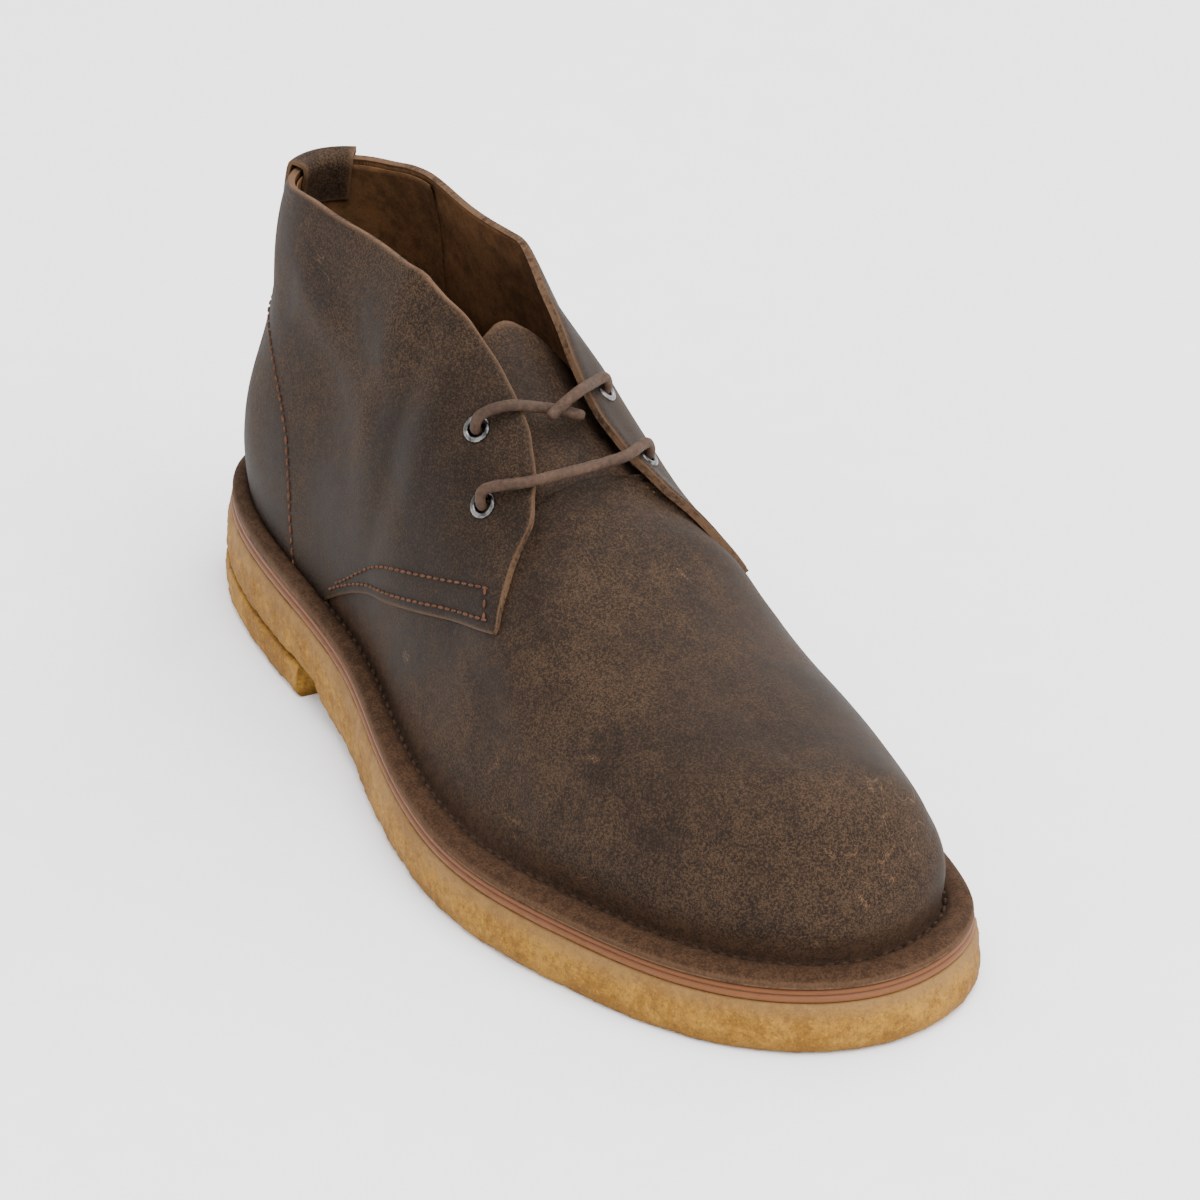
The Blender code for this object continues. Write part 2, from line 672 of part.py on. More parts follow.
def pull_tab(paint):
    """Leather loop folded over the back of the collar."""
    def miss(point):
        return point[..., 2] - COLLAR_HEIGHT * table(COLLAR, 1, point[..., 0] / LENGTH) + drop

    outside = QUARTER_WALL + CLEAR + TAB_EASE
    inside = -(VAMP_WALL + CLEAR + TAB_EASE)
    crown = (outside + inside) / 2
    radius = (outside - inside) / 2
    turn = np.linspace(0.2, 0.8, 4) * math.pi
    drops = np.linspace(TAB_DROP, TAB_SHOULDER, 4)
    drop = np.r_[drops, np.zeros(len(turn)), drops[::-1]]
    out = np.r_[np.full(4, outside), crown + radius * np.cos(turn), np.full(4, inside)]
    rise = np.r_[np.zeros(4), CLEAR + TAB_SHOULDER + radius * TAB_ARCH * np.sin(turn), np.zeros(4)]
    across = np.linspace(-1, 1, TAB_COLUMNS) * TAB_WIDTH / 2
    grid = []
    for offset in across:
        side = -1 if offset < 0 else 1
        low, high = np.zeros_like(drop), np.full_like(drop, 0.25)
        for _ in range(24):
            tau = (low + high) / 2
            climb = solve(side, tau, miss)
            near = np.abs(skin(side, tau, climb)[..., 1]) < abs(offset)
            low, high = np.where(near, tau, low), np.where(near, high, tau)
        climb = solve(side, tau, miss)
        point = skin(side, tau, climb) + normals_at(side, tau, climb) * out[:, None]
        point[:, 2] += rise
        grid.append(point)
    faces = grid_faces(len(grid), len(drop))
    return shell("pull_tab", np.vstack(grid), faces, 0.0, TAB_WALL, paint, away=False)


def cord(name, points, paint):
    """Round cord along points in mm, with filled ends."""
    curve = bpy.data.curves.new(name, "CURVE")
    curve.dimensions = "3D"
    curve.bevel_depth = LACE / 2 * MM
    curve.bevel_resolution = 2
    curve.use_fill_caps = True
    line = curve.splines.new("POLY")
    line.points.add(len(points) - 1)
    for spot, point in zip(line.points, points):
        spot.co = (*place(point), 1.0)
    curve.materials.append(paint)
    made = bpy.data.objects.new(name, curve)
    bpy.context.scene.collection.objects.link(made)
    return made


def lace_path(rows):
    """Smooth run of points for rows of y from the ridge, share of length, height off the skin."""
    knots = []
    for y, station, off in rows:
        point, normal = frames(-1 if y < 0 else 1, station, abs(y))
        knots.append(point + normal * off)
    knots = np.array(knots)
    padded = np.vstack([2 * knots[0] - knots[1], knots, 2 * knots[-1] - knots[-2]])
    t = np.linspace(0, 1, 7, endpoint=False)[:, None]
    points = []
    for i in range(len(knots) - 1):
        a, b, c, d = padded[i:i + 4]
        points.append(0.5 * (2 * b + (c - a) * t + (2 * a - 5 * b + 4 * c - d) * t ** 2
                             + (3 * b - a - 3 * c + d) * t ** 3))
    dense = np.vstack(points + [knots[-1:]])
    run = np.r_[0, np.cumsum(np.linalg.norm(np.diff(dense, axis=0), axis=1))]
    count = max(int(run[-1] / LACE) + 1, 4)
    even = np.linspace(0, run[-1], count)
    return np.stack([np.interp(even, run, dense[:, k]) for k in range(3)], 1)


def laces(paint):
    """Straight bar between the lower eyelets and an end from each upper eyelet."""
    over = QUARTER_WALL + CLEAR + EYELET_RIM + LACE / 2 + LACE_OVER
    (start, far), (stop, near) = EYELETS["lower_outer"], EYELETS["lower_inner"]
    far, near = -far * WIDTH, near * WIDTH
    rows = [(far, start, -LACE_SINK), (far, start, LACE_NECK), (far + LACE_TURN, start, over + LACE_SINK)]
    for share, bow in BAR:
        rows.append((far + (near - far) * share, start + (stop - start) * share + bow, over + LACE_OVER))
    rows += [(near - LACE_TURN, stop, over + LACE_SINK), (near, stop, LACE_NECK), (near, stop, -LACE_SINK)]
    cord("lace_bar", lace_path(rows), paint)
    for name, side, rise in (("lace_end_outer", -1, 0.0), ("lace_end_inner", 1, LACE + CROSSING)):
        station, half = EYELETS[name.replace("lace_end", "upper")]
        half = half * WIDTH
        rows = [(half, station, -LACE_SINK), (half, station, LACE_NECK),
                (half - LACE_TURN, station, over + LACE_SINK), (0.6 * half, station + 0.008, over + LACE_SINK),
                (0.27 * half, station + 0.018, over - LACE_DIP + LACE_SINK + rise),
                (0.0, station + 0.024, LACE_REST + rise),
                (-0.28 * half, station + 0.030, LACE_REST + rise * 0.75)]
        cord(name, lace_path([(y * side, s, off) for y, s, off in rows]), paint)


def empty_scene():
    """Remove everything from the scene."""
    for thing in list(bpy.data.objects):
        bpy.data.objects.remove(thing)


def main():
    empty_scene()
    leather = material("oiled_leather", (0.085, 0.057, 0.043), 0.62)
    edge = material("veg_leather", (0.33, 0.14, 0.06), 0.6)
    crepe = material("crepe", (0.40, 0.20, 0.07), 0.8)
    steel = material("gunmetal", (0.32, 0.31, 0.30), 0.35, 1.0)
    lining = material("insole_leather", (0.22, 0.12, 0.06), 0.7)
    prism("midsole", [ring(0.6, lambda x: crepe_top(x) + CLEAR),
                      ring(0.6, lambda x: crepe_top(x) + CLEAR + MIDSOLE)], edge)
    prism("outsole", [ring(0.2, crepe_under), ring(-CREPE_PROUD, lambda x: crepe_under(x) + 1.2),
                      ring(0.0, crepe_top)], crepe)
    heel_lift(crepe)
    upper = upper_sheet(leather)
    boolean(upper, quarters(leather), "UNION")
    eyelets(upper, steel)
    tongue(leather)
    pull_tab(leather)
    prism("insole", [ring(last_inset(VAMP_WALL + 1.2), lambda x: bed(x) + 0.05),
                     ring(last_inset(VAMP_WALL + 1.2), lambda x: bed(x) + INSOLE)], lining)
    laces(material("lace_cord", (0.11, 0.075, 0.055), 0.85))


main()
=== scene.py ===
"""Right desert boot: leather, seams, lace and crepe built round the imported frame."""

import math

import bmesh
import bpy
import numpy as np
from bpy.props import FloatProperty, FloatVectorProperty, PointerProperty
from mathutils import Matrix, Vector, kdtree, noise


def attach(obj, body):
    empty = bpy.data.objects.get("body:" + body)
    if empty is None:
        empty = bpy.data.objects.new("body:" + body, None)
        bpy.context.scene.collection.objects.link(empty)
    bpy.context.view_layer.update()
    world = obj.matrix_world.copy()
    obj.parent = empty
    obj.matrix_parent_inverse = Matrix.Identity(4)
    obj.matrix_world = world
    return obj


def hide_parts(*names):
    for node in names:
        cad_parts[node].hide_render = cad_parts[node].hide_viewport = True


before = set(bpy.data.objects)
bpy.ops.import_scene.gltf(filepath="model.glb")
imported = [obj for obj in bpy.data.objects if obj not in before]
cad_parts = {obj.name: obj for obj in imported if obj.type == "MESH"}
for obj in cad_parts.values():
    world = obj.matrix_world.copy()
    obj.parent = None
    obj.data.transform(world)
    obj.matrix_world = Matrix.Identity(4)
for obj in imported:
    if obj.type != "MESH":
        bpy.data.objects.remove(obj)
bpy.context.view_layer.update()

bl_info = {
    "name": "Desert boot",
    "version": (1, 0, 0),
    "blender": (4, 5, 0),
    "location": "View3D > Sidebar > Boot",
    "description": "Builds a stitched-down desert boot on a crepe sole, piece by piece",
    "category": "Object",
}

MM = 0.001

# Driving sizes in mm, x from the heel back to the toe, y to the inner side, z up
LENGTH = 305.0
WIDTH = 110.0
COLLAR_HEIGHT = 123.0
MIDSOLE = 3.2
HEEL_STACK = 23.0
FORE_STACK = 13.6
HEEL_LIFT = 8.6
CLEAR = 0.3
VAMP_WALL = 1.6
QUARTER_WALL = 1.3
OVERLAP = 0.8
TONGUE = 1.6
EYELET_OUTER = 7.2
EYELET_HOLE = 4.2
EYELET_WALL = 0.35
EYELET_RIM = 0.5
LACE = 2.8
CROSSING = 0.9
TAB_WIDTH = 17.0
TAB_DROP = 12.0
TAB_WALL = 1.0
TAB_ARCH = 0.25
TAB_EASE = 0.3
TAB_SHOULDER = 0.5
FLANGE_BACK = 1.0

# Plan of the sole: share of length, outer and inner half widths as shares of width
PLAN = [
    (0.020, 0.164, 0.165), (0.066, 0.268, 0.267), (0.148, 0.339, 0.333), (0.262, 0.373, 0.348),
    (0.377, 0.398, 0.295), (0.492, 0.470, 0.330), (0.607, 0.525, 0.435), (0.705, 0.518, 0.474),
    (0.803, 0.444, 0.464), (0.885, 0.352, 0.436), (0.944, 0.240, 0.378), (0.984, 0.095, 0.252),
]
TOE_TIP = 0.075

# Flange width: share of length, outer side and inner side as shares of width
FLANGE = [
    (0.0, 0.0591, 0.0591), (0.35, 0.0655, 0.0636), (0.52, 0.0727, 0.0636), (0.66, 0.0891, 0.0655),
    (0.78, 0.1045, 0.0691), (0.90, 0.1073, 0.0745), (1.0, 0.1, 0.1),
]

# Flange from its edge to the crease: share of its width, lift off the midsole in mm
FLANGE_ROLL = [
    (-0.03, 0.5), (-0.035, 1.0), (-0.01, 1.5), (0.04, 1.9), (0.12, 2.2), (0.24, 2.45), (0.38, 2.55),
    (0.52, 2.5), (0.64, 2.3), (0.74, 2.0), (0.82, 1.6), (0.88, 1.25), (0.94, 1.1), (0.975, 1.25),
]

# Stack: share of length, top of the crepe, underside of the crepe between heel and fore stack
STACK = [
    (0.0, 1.0, 1.0), (0.20, 1.0, 1.0), (0.27, 0.95, 1.0), (0.312, 0.87, 1.0), (0.34, 0.80, 0.42),
    (0.40, 0.62, 0.20), (0.46, 0.40, 0.04), (0.50, 0.27, 0.0), (0.56, 0.12, 0.0), (0.66, 0.0, 0.0),
    (0.90, 0.0, 0.0), (1.0, 0.02, 0.04),
]

# Sections: share of length, ridge height as share of collar height, two curve powers,
# bulge as share of width, waist
SECTION = [
    (0.00, 1.218, 1.70, 1.74, 0.0267, 0.167), (0.15, 1.177, 1.825, 1.656, 0.0127, 0.111),
    (0.32, 1.167, 1.77, 1.59, 0.0091, 0.006), (0.37, 1.084, 1.745, 1.514, 0.0073, 0.0),
    (0.425, 0.930, 2.3, 1.9, 0.0073, 0.0), (0.49, 0.804, 2.5, 2.0, 0.0073, 0.0),
    (0.535, 0.733, 2.7, 2.0, 0.0073, 0.0), (0.60, 0.653, 3.1, 2.0, 0.0073, 0.0),
    (0.64, 0.599, 3.1, 2.0, 0.0073, 0.0), (0.70, 0.541, 3.0, 2.0, 0.0073, 0.0),
    (0.76, 0.510, 3.0, 2.1, 0.0091, 0.0), (0.82, 0.483, 3.0, 2.2, 0.0109, 0.0),
    (1.00, 0.454, 3.0, 2.2, 0.0127, 0.0),
]
WAIST_AT = 0.40
WAIST_SPREAD = 0.20

# Body of the foot above the feather line: share of length, half width as share of width, weight
BODY = [
    (0.12, 0.351, 0.375), (0.24, 0.260, 0.8), (0.37, 0.331, 1.0), (0.51, 0.3455, 1.0),
    (0.60, 0.3818, 1.0), (0.70, 0.4, 0.9), (0.82, 0.3818, 0.0), (1.0, 0.3818, 0.0),
]
SPINE_HEEL = 0.123
SPINE_BACK = 0.24
SPINE_BALL = 0.66
SPINE_TOE = 0.862
RIDGE_DRIFT = 0.0122

# Top line: share of length, share of collar height
COLLAR = [
    (0.0, 0.936), (0.062, 0.938), (0.096, 0.9443), (0.13, 0.9625), (0.161, 0.974), (0.202, 0.9773),
    (0.26, 0.987), (0.33, 1.0),
]

# Front edge of a quarter: share of length, half width from the ridge as share of width
FRONT = [
    (0.33, 0.139), (0.355, 0.1277), (0.383, 0.1124), (0.413, 0.0949), (0.445, 0.0807), (0.47, 0.0786),
    (0.491, 0.0826), (0.506, 0.0957), (0.521, 0.11), (0.535, 0.1345), (0.552, 0.1636), (0.568, 0.2409),
    (0.580, 0.2818), (0.597, 0.3236),
]
CORNER_BLEND = 0.05
THROAT = 0.535
TONGUE_ROOT = 0.60
TONGUE_TOP = 0.413
TONGUE_LEAN = 5.6
TONGUE_HALF = 0.182
TONGUE_CLEAR = 0.5

# Lower edge of a quarter: share of length, height above ground as share of collar height
LOWER = [
    (0.29, 0.222), (0.32, 0.2705), (0.374, 0.3407), (0.43, 0.3862), (0.48, 0.4233), (0.53, 0.4595),
    (0.60, 0.5059),
]

# Counter seam on either side: share of length, share of collar height
COUNTER_SEAM = [
    (0.042, 0.655), (0.078, 0.644), (0.120, 0.602), (0.155, 0.547), (0.178, 0.500), (0.191, 0.462),
    (0.206, 0.395), (0.217, 0.318), (0.228, 0.236),
]

# Eyelets: share of length, half width from the ridge as share of width
EYELETS = {
    "upper_outer": (0.4625, 0.1697), "upper_inner": (0.462, 0.142),
    "lower_outer": (0.507, 0.2184), "lower_inner": (0.515, 0.170),
}

# Lace bar: share of the way across from the outer eyelet, forward bow as share of length
BAR = [(0.22, 0.019), (0.36, 0.026), (0.50, 0.028), (0.64, 0.026), (0.78, 0.019)]
LACE_SINK = 0.6
LACE_NECK = 2.3
LACE_TURN = 2.4
LACE_OVER = 0.4
LACE_DIP = 2.2
LACE_REST = 1.2

# Scuffs on the face: both ends in mm from the boot's middle, width in mm
SCUFFS = [
    ((-76.8, -24.4, 66.3), (-68.3, -25.9, 64.0), 1.3), ((-69.5, -25.7, 64.2), (-63.0, -26.8, 62.6), 1.8),
    ((-63.1, -26.0, 66.8), (-68.5, -26.6, 61.5), 1.0), ((-95.4, -17.6, 101.1), (-75.1, -16.4, 103.2), 0.6),
    ((-35.3, -11.2, 113.0), (-32.6, -13.3, 108.7), 0.7), ((-84.0, -24.2, 66.4), (-81.8, -24.4, 64.6), 2.2),
    ((-12.1, -36.0, 39.4), (-5.5, -36.7, 38.8), 0.9), ((-3.3, -31.2, 58.3), (0.9, -31.7, 56.3), 1.5),
    ((73.5, -30.3, 50.9), (80.4, -27.5, 51.9), 1.5), ((140.0, 7.0, 36.4), (143.0, 12.0, 32.0), 0.8),
    ((133.9, 2.2, 47.1), (136.0, 4.3, 45.0), 1.3), ((-65.6, -19.6, 92.5), (-66.2, -20.7, 86.4), 0.6),
    ((-99.3, -20.3, 81.1), (-92.9, -20.6, 79.9), 0.6), ((38.5, 13.9, 74.8), (44.1, 16.2, 71.6), 1.2),
]

# Soft troughs (-) and ridges (+): side, start and end as shares of length and collar's height,
# half width and depth in mm
FOLDS = [
    (-1, 0.150, 0.723, 0.300, 0.578, 9.0, -0.7), (-1, 0.200, 0.888, 0.340, 0.743, 7.0, -0.5),
    (-1, 0.175, 0.805, 0.320, 0.671, 6.0, 0.5), (-1, 0.330, 0.496, 0.440, 0.661, 8.0, -0.5),
    (-1, 0.600, 0.413, 0.700, 0.258, 9.0, -0.6), (-1, 0.660, 0.454, 0.760, 0.341, 8.0, -0.4),
    (-1, 0.630, 0.444, 0.725, 0.299, 6.0, 0.4), (1, 0.160, 0.743, 0.310, 0.599, 9.0, -0.7),
    (1, 0.610, 0.423, 0.710, 0.279, 9.0, -0.6), (1, 0.670, 0.454, 0.750, 0.330, 8.0, -0.4),
    (1, 0.340, 0.516, 0.430, 0.661, 8.0, -0.5),
]

# Side of the midsole from its underside up: share of its height, inset in mm
MIDSOLE_SIDE = [
    (0.0, 1.3), (0.0, 0.8), (0.05, 0.55), (0.22, 0.35), (0.42, 0.4), (0.50, 0.75), (0.54, 1.25),
    (0.58, 0.95), (0.66, 0.8), (0.84, 0.85), (0.95, 1.1), (1.0, 1.5), (1.0, 2.2),
]

# Visual mesh: columns on one side, rows up the wall, rows up a quarter,
# and how far the vamp stays below the collar and behind the front edge, in mm
SIDE_COLUMNS = 290
WALL_ROWS = 56
QUARTER_ROWS = 46
BACKING_STEP = 0.7
THROAT_STEP = 2.5

# Rows of stitches on a quarter's lower edge, in mm: start past the edge's own start, end,
# height over the edge at the start and at the end, then where the rows have spread
PANEL_ROWS = [(5.0, 175.5, 2.6, 2.6), (9.0, 170.0, 3.8, 9.4)]
PANEL_SPREAD = 42.0
PANEL_STITCH = 2.9
PANEL_THREAD = 0.82

# Flange seam: share of the flange's width, height over the bed, pitch and thickness in mm
FLANGE_SEAM = 0.865
FLANGE_SEAM_RISE = 1.15
STITCH_PULL = 3.7
FLANGE_THREAD = 1.3

# Flange: depth of its puckers, their middle and spread as shares of its width,
# rise of the quarters' part over the vamp's and where that part ends, in mm
PUCKER = 0.42
PUCKER_AT = 0.86
PUCKER_SPREAD = 0.09
LAP_RISE = 0.55
LAP_ENDS = (84.0, 85.6)
NAP_REACH = (1.0, 8.5)

# How far the vamp thins towards its top, in mm
SKIVE = 0.8
SKIVE_REACH = (1.0, 9.0)
FEATHER = 1.5
FEATHER_TO = 0.565

# Where the vamp sinks to run on as the tongue: shares of length
SINK_RUN = 0.058
SINK_FROM = (0.515, 0.532)

# Front edge of a quarter standing off the tongue, and rounded raw edges, in mm
FRONT_LIFT = 1.3
FRONT_LIFT_REACH = 4.2
FRONT_LIFT_FROM = (0.385, 0.44)
FRONT_LIFT_TO = (0.545, 0.575)
ROUND_OFF = 0.45
ROUND_REACH = 0.55
SEAM_SINK = 0.12

# Tongue in the visual mesh: rows and columns, share of length of its root,
# share of its run where the tip starts to round, widening at the root, curl in mm
TONGUE_GRID = (60, 41)
TONGUE_FROM = 0.566
TONGUE_TIP = 0.80
TONGUE_FLARE = 0.25
TONGUE_CURL = 0.5

# Counter patch: share of length it reaches, share of the collar's height of its lower edge,
# distance from the collar, from the vamp and wall in mm
PATCH_REACH = 0.15
PATCH_LOW = 0.537
PATCH_STEP = 1.2
PATCH_OFF = 0.02
PATCH_WALL = 0.28
PATCH_ROWS = 26

# Eyelet in mm: seat over the leather, height and roundness of the rolled rim
EYELET_SEAT = 0.08
EYELET_ROLL = 0.10
EYELET_CROWN = 0.62

# Sides of the crepe sheet and of the heel lift from the ground up: share of height, inset in mm
SHEET_SIDE = [
    (0.0, 3.0), (0.0, 0.9), (0.03, 0.1), (0.08, -0.4), (0.16, -0.8), (0.30, -1.0), (0.45, -0.95),
    (0.60, -0.8), (0.75, -0.6), (0.88, -0.3), (0.95, 0.0), (0.985, 0.35), (1.0, 0.8), (1.0, 3.0),
]
LIFT_SIDE = [
    (0.0, 3.0), (0.0, 0.2), (0.05, -0.6), (0.13, -1.1), (0.25, -1.4), (0.40, -1.4), (0.60, -1.3),
    (0.80, -1.2), (0.95, -1.0), (1.0, -0.6), (1.0, 2.0),
]
LIFT_REACH = 0.285

# Lumps of the crepe: waves for each mm and their strength
LUMPS = [(0.16, 1.0), (0.45, 0.6), (0.95, 0.5)]

# Stage in metres: camera, sensor in mm, lamps as name, place, size and share of the key's power
CAMERA_AT = (1.4346, -0.7505, 0.9328)
CAMERA_AIM = (0.0043, 0.0117, 0.0492)
SENSOR = 36.0
CLIP = (0.1, 40.0)
LAMP_AIM = (0.0, 0.0, 0.06)
LAMPS = [
    ("overhead", (0.5, 0.1, 1.9), 1.6, 1.0), ("front", (1.6, 0.5, 1.0), 1.2, 0.4),
    ("behind", (-0.7, 1.4, 1.1), 1.0, 0.3),
]
FLOOR_HALF = 8.0


def table(rows, column, x):
    """Monotone cubic through one column of a table."""
    xs = np.array([row[0] for row in rows])
    ys = np.array([row[column] for row in rows])
    step = np.diff(xs)
    rise = np.diff(ys) / step
    slope = np.zeros_like(ys)
    product = rise[:-1] * rise[1:]
    total = np.where(product > 0, rise[:-1] + rise[1:], 1.0)
    slope[1:-1] = np.where(product > 0, 2 * product / total, 0.0)
    slope[0], slope[-1] = rise[0], rise[-1]
    x = np.clip(np.asarray(x, float), xs[0], xs[-1])
    k = np.clip(np.searchsorted(xs, x) - 1, 0, len(step) - 1)
    t = (x - xs[k]) / step[k]
    return (
        ys[k] * (1 + 2 * t) * (1 - t) ** 2 + ys[k + 1] * t * t * (3 - 2 * t)
        + step[k] * (slope[k] * t * (1 - t) ** 2 - slope[k + 1] * t * t * (1 - t))
    )


def soft(x, low, high):
    """Smooth step from 0 at low to 1 at high."""
    t = np.clip((np.asarray(x, float) - low) / (high - low), 0, 1)
    return t * t * (3 - 2 * t)


def closed_curve(points, per_span):
    """Smooth closed curve through points, with even speed at each one."""
    p = np.array(points, float)
    n = len(p)
    d = np.sqrt(np.linalg.norm(np.roll(p, -1, 0) - p, axis=1))
    system = np.zeros((n, n))
    right = np.zeros((n, 2))
    for i in range(n):
        a, b = d[i - 1], d[i]
        system[i, i - 1] += b
        system[i, i] += 2 * (a + b)
        system[i, (i + 1) % n] += a
        right[i] = 3 * (a * (p[(i + 1) % n] - p[i]) / b + b * (p[i] - p[i - 1]) / a)
    tangent = np.linalg.solve(system, right)
    t = np.linspace(0, 1, per_span, endpoint=False)[:, None]
    spans = []
    for i in range(n):
        q, m0, m1 = p[(i + 1) % n], tangent[i] * d[i], tangent[(i + 1) % n] * d[i]
        spans.append(p[i] * (1 + 2 * t) * (1 - t) ** 2 + q * t * t * (3 - 2 * t)
                     + m0 * t * (1 - t) ** 2 - m1 * t * t * (1 - t))
    return np.vstack(spans)


def plan_halves():
    """Outer and inner half of the sole plan, each from heel back to toe tip."""
    outer = [(r[0] * LENGTH, -r[1] * WIDTH) for r in PLAN]
    inner = [(r[0] * LENGTH, r[2] * WIDTH) for r in PLAN]
    tip = (LENGTH, TOE_TIP * WIDTH)
    per_span = 40
    curve = closed_curve([(0.0, 0.0)] + outer + [tip] + inner[::-1], per_span)
    ahead = np.roll(curve, -1, 0) - np.roll(curve, 1, 0)
    normal = np.stack([ahead[:, 1], -ahead[:, 0]], 1)
    normal /= np.linalg.norm(normal, axis=1)[:, None]
    turn = (len(outer) + 1) * per_span
    halves = {}
    loop = np.vstack([curve, curve[:1]])
    loop_normal = np.vstack([normal, normal[:1]])
    for side, part, part_normal in ((-1, loop[:turn + 1], loop_normal[:turn + 1]),
                                    (1, loop[turn:][::-1], loop_normal[turn:][::-1])):
        run = np.r_[0, np.cumsum(np.linalg.norm(np.diff(part, axis=0), axis=1))]
        halves[side] = (run / run[-1], part, part_normal, run[-1])
    return halves


HALVES = plan_halves()
EVERY = np.vstack([HALVES[-1][1], HALVES[1][1]])
MIDDLE_Y = (EVERY[:, 1].max() + EVERY[:, 1].min()) / 2


def plan(side, tau, inset):
    """Point of the sole plan at a share of one side's run, moved inward."""
    share, part, normal, _ = HALVES[side]
    tau = np.asarray(tau, float)
    x, y = (np.interp(tau, share, part[:, k]) for k in (0, 1))
    nx, ny = (np.interp(tau, share, normal[:, k]) for k in (0, 1))
    size = np.sqrt(nx * nx + ny * ny)
    return x - inset * nx / size, y - inset * ny / size


def crepe_top(x):
    """Height of the top of the crepe."""
    return FORE_STACK + (HEEL_STACK - FORE_STACK) * table(STACK, 1, x / LENGTH)


def crepe_under(x):
    """Height of the underside of the crepe sheet."""
    return HEEL_LIFT * table(STACK, 2, x / LENGTH)


def bed(x):
    """Height the flange rests at, on the midsole."""
    return crepe_top(x) + MIDSOLE + 2 * CLEAR


def flange_width(side, x):
    """Width of the flange from the sole's edge to the crease."""
    return WIDTH * table(FLANGE, 1 if side < 0 else 2, x / LENGTH)


def spine_x(tau):
    """Station on the last's spine that a share of the side's run leans to."""
    tau = np.asarray(tau, float)
    share, part = HALVES[-1][:2]
    back = np.interp(SPINE_BACK * LENGTH, part[:, 0], share)
    ball = np.interp(SPINE_BALL * LENGTH, part[:, 0], share)
    middle = np.interp(tau, share, part[:, 0])
    low = np.clip(tau / back, 0, 1)
    high = np.clip((tau - ball) / (1 - ball), 0, 1)
    rear = (SPINE_HEEL + (SPINE_BACK - SPINE_HEEL) * low ** 2) * LENGTH
    front = (SPINE_BALL + (SPINE_TOE - SPINE_BALL) * (2 * high - high ** 2)) * LENGTH
    return np.where(tau < back, rear, np.where(tau > ball, front, middle))


def skin(side, tau, phi):
    """Outer face of the vamp: side, share of the side's run, climb from 0 to a quarter turn."""
    tau, phi = np.broadcast_arrays(np.asarray(tau, float), np.asarray(phi, float))
    edge_x, _ = plan(side, tau, 0.0)
    fx, fy = plan(side, tau, flange_width(side, edge_x))
    sx = spine_x(tau)
    share = sx / LENGTH
    near = np.clip(edge_x / LENGTH, 0, 1)
    ridge = COLLAR_HEIGHT * table(SECTION, 1, share)
    power_up = table(SECTION, 2, near)
    power_in = table(SECTION, 3, near)
    bulge = WIDTH * table(SECTION, 4, near)
    base = bed(edge_x) + VAMP_WALL
    v = np.sin(phi) ** (2 / power_up)
    u = 1 - np.maximum(np.cos(phi), 0.0) ** (2 / power_in)
    sy = sx * RIDGE_DRIFT
    reach = np.sqrt((sx - fx) ** 2 + (sy - fy) ** 2)
    body = WIDTH * table(BODY, 1, share)
    weight = table(BODY, 2, share)
    girth = reach + (body - reach) * weight
    u = 1 - ((1 - u) * girth + (reach - girth) * (1 - v) ** 3) / reach
    swell = bulge / reach * np.sin(math.pi * np.clip(v / 0.5, 0, 1))
    waist = table(SECTION, 5, near) * np.exp(-((v - WAIST_AT) / WAIST_SPREAD) ** 2)
    u = u - swell + waist * np.clip(v / 0.15, 0, 1)
    return np.stack([fx + (sx - fx) * u, fy + (sy - fy) * u, base + (ridge - base) * v], -1)


def solve(side, tau, error):
    """Climb at which the error of each skin point turns from negative to positive."""
    tau = np.asarray(tau, float)
    low, high = np.zeros_like(tau), np.full_like(tau, math.pi / 2)
    for _ in range(30):
        middle = (low + high) / 2
        under = error(skin(side, tau, middle)) < 0
        low, high = np.where(under, middle, low), np.where(under, high, middle)
    return (low + high) / 2


def from_ridge(point):
    """Half width of a point from the ridge line."""
    return np.abs(point[..., 1] - point[..., 0] * RIDGE_DRIFT)


def top_climb(side, tau, collar_step=0.0, front_step=0.0):
    """Climb of the top line or front edge above shares of the run."""
    def error(point):
        share = point[..., 0] / LENGTH
        collar = point[..., 2] - COLLAR_HEIGHT * table(COLLAR, 1, share) + collar_step
        back = collar_step + (front_step - collar_step) * soft(share, FRONT[0][0], 0.45)
        front = WIDTH * table(FRONT, 1, share) + back - from_ridge(point)
        half = CORNER_BLEND / 2
        return collar + (front - collar) * soft(share, FRONT[0][0] - half, FRONT[0][0] + half)
    return solve(side, tau, error)


def low_climb(side, tau):
    """Climb of the quarter's lower edge above shares of the run."""
    found = solve(side, tau, lambda p: p[..., 2] - COLLAR_HEIGHT * table(LOWER, 1, p[..., 0] / LENGTH))
    return np.where(plan(side, tau, 0.0)[0] < LOWER[0][0] * LENGTH, 0.0, found)


def tau_at(side, station):
    """Share of the side's run at a share of the length."""
    share, part = HALVES[side][:2]
    return np.interp(np.asarray(station, float) * LENGTH, part[:, 0], share)


def place(point):
    """Shoe sizes in mm to the part's frame in metres."""
    return (np.asarray(point, float) - np.array([LENGTH / 2, MIDDLE_Y, 0.0])) * MM


def normals_at(side, tau, climb):
    """Outward unit normals of the skin."""
    along = skin(side, tau + 0.004, climb) - skin(side, np.maximum(tau - 0.004, 0.0), climb)
    up = skin(side, tau, np.minimum(climb + 0.01, math.pi / 2)) - skin(side, tau, climb - 0.01)
    normal = np.cross(along, up) * (-side)
    return normal / np.linalg.norm(normal, axis=-1)[..., None]


def settle(side, station, error):
    """Skin points and normals at shares of the length where an error of the point is nil."""
    tau = tau_at(side, station).copy()
    for _ in range(8):
        climb = solve(side, tau, error)
        tau = tau + (station - skin(side, tau, climb)[..., 0] / LENGTH) * 0.8
    climb = solve(side, tau, error)
    return skin(side, tau, climb), normals_at(side, tau, climb)


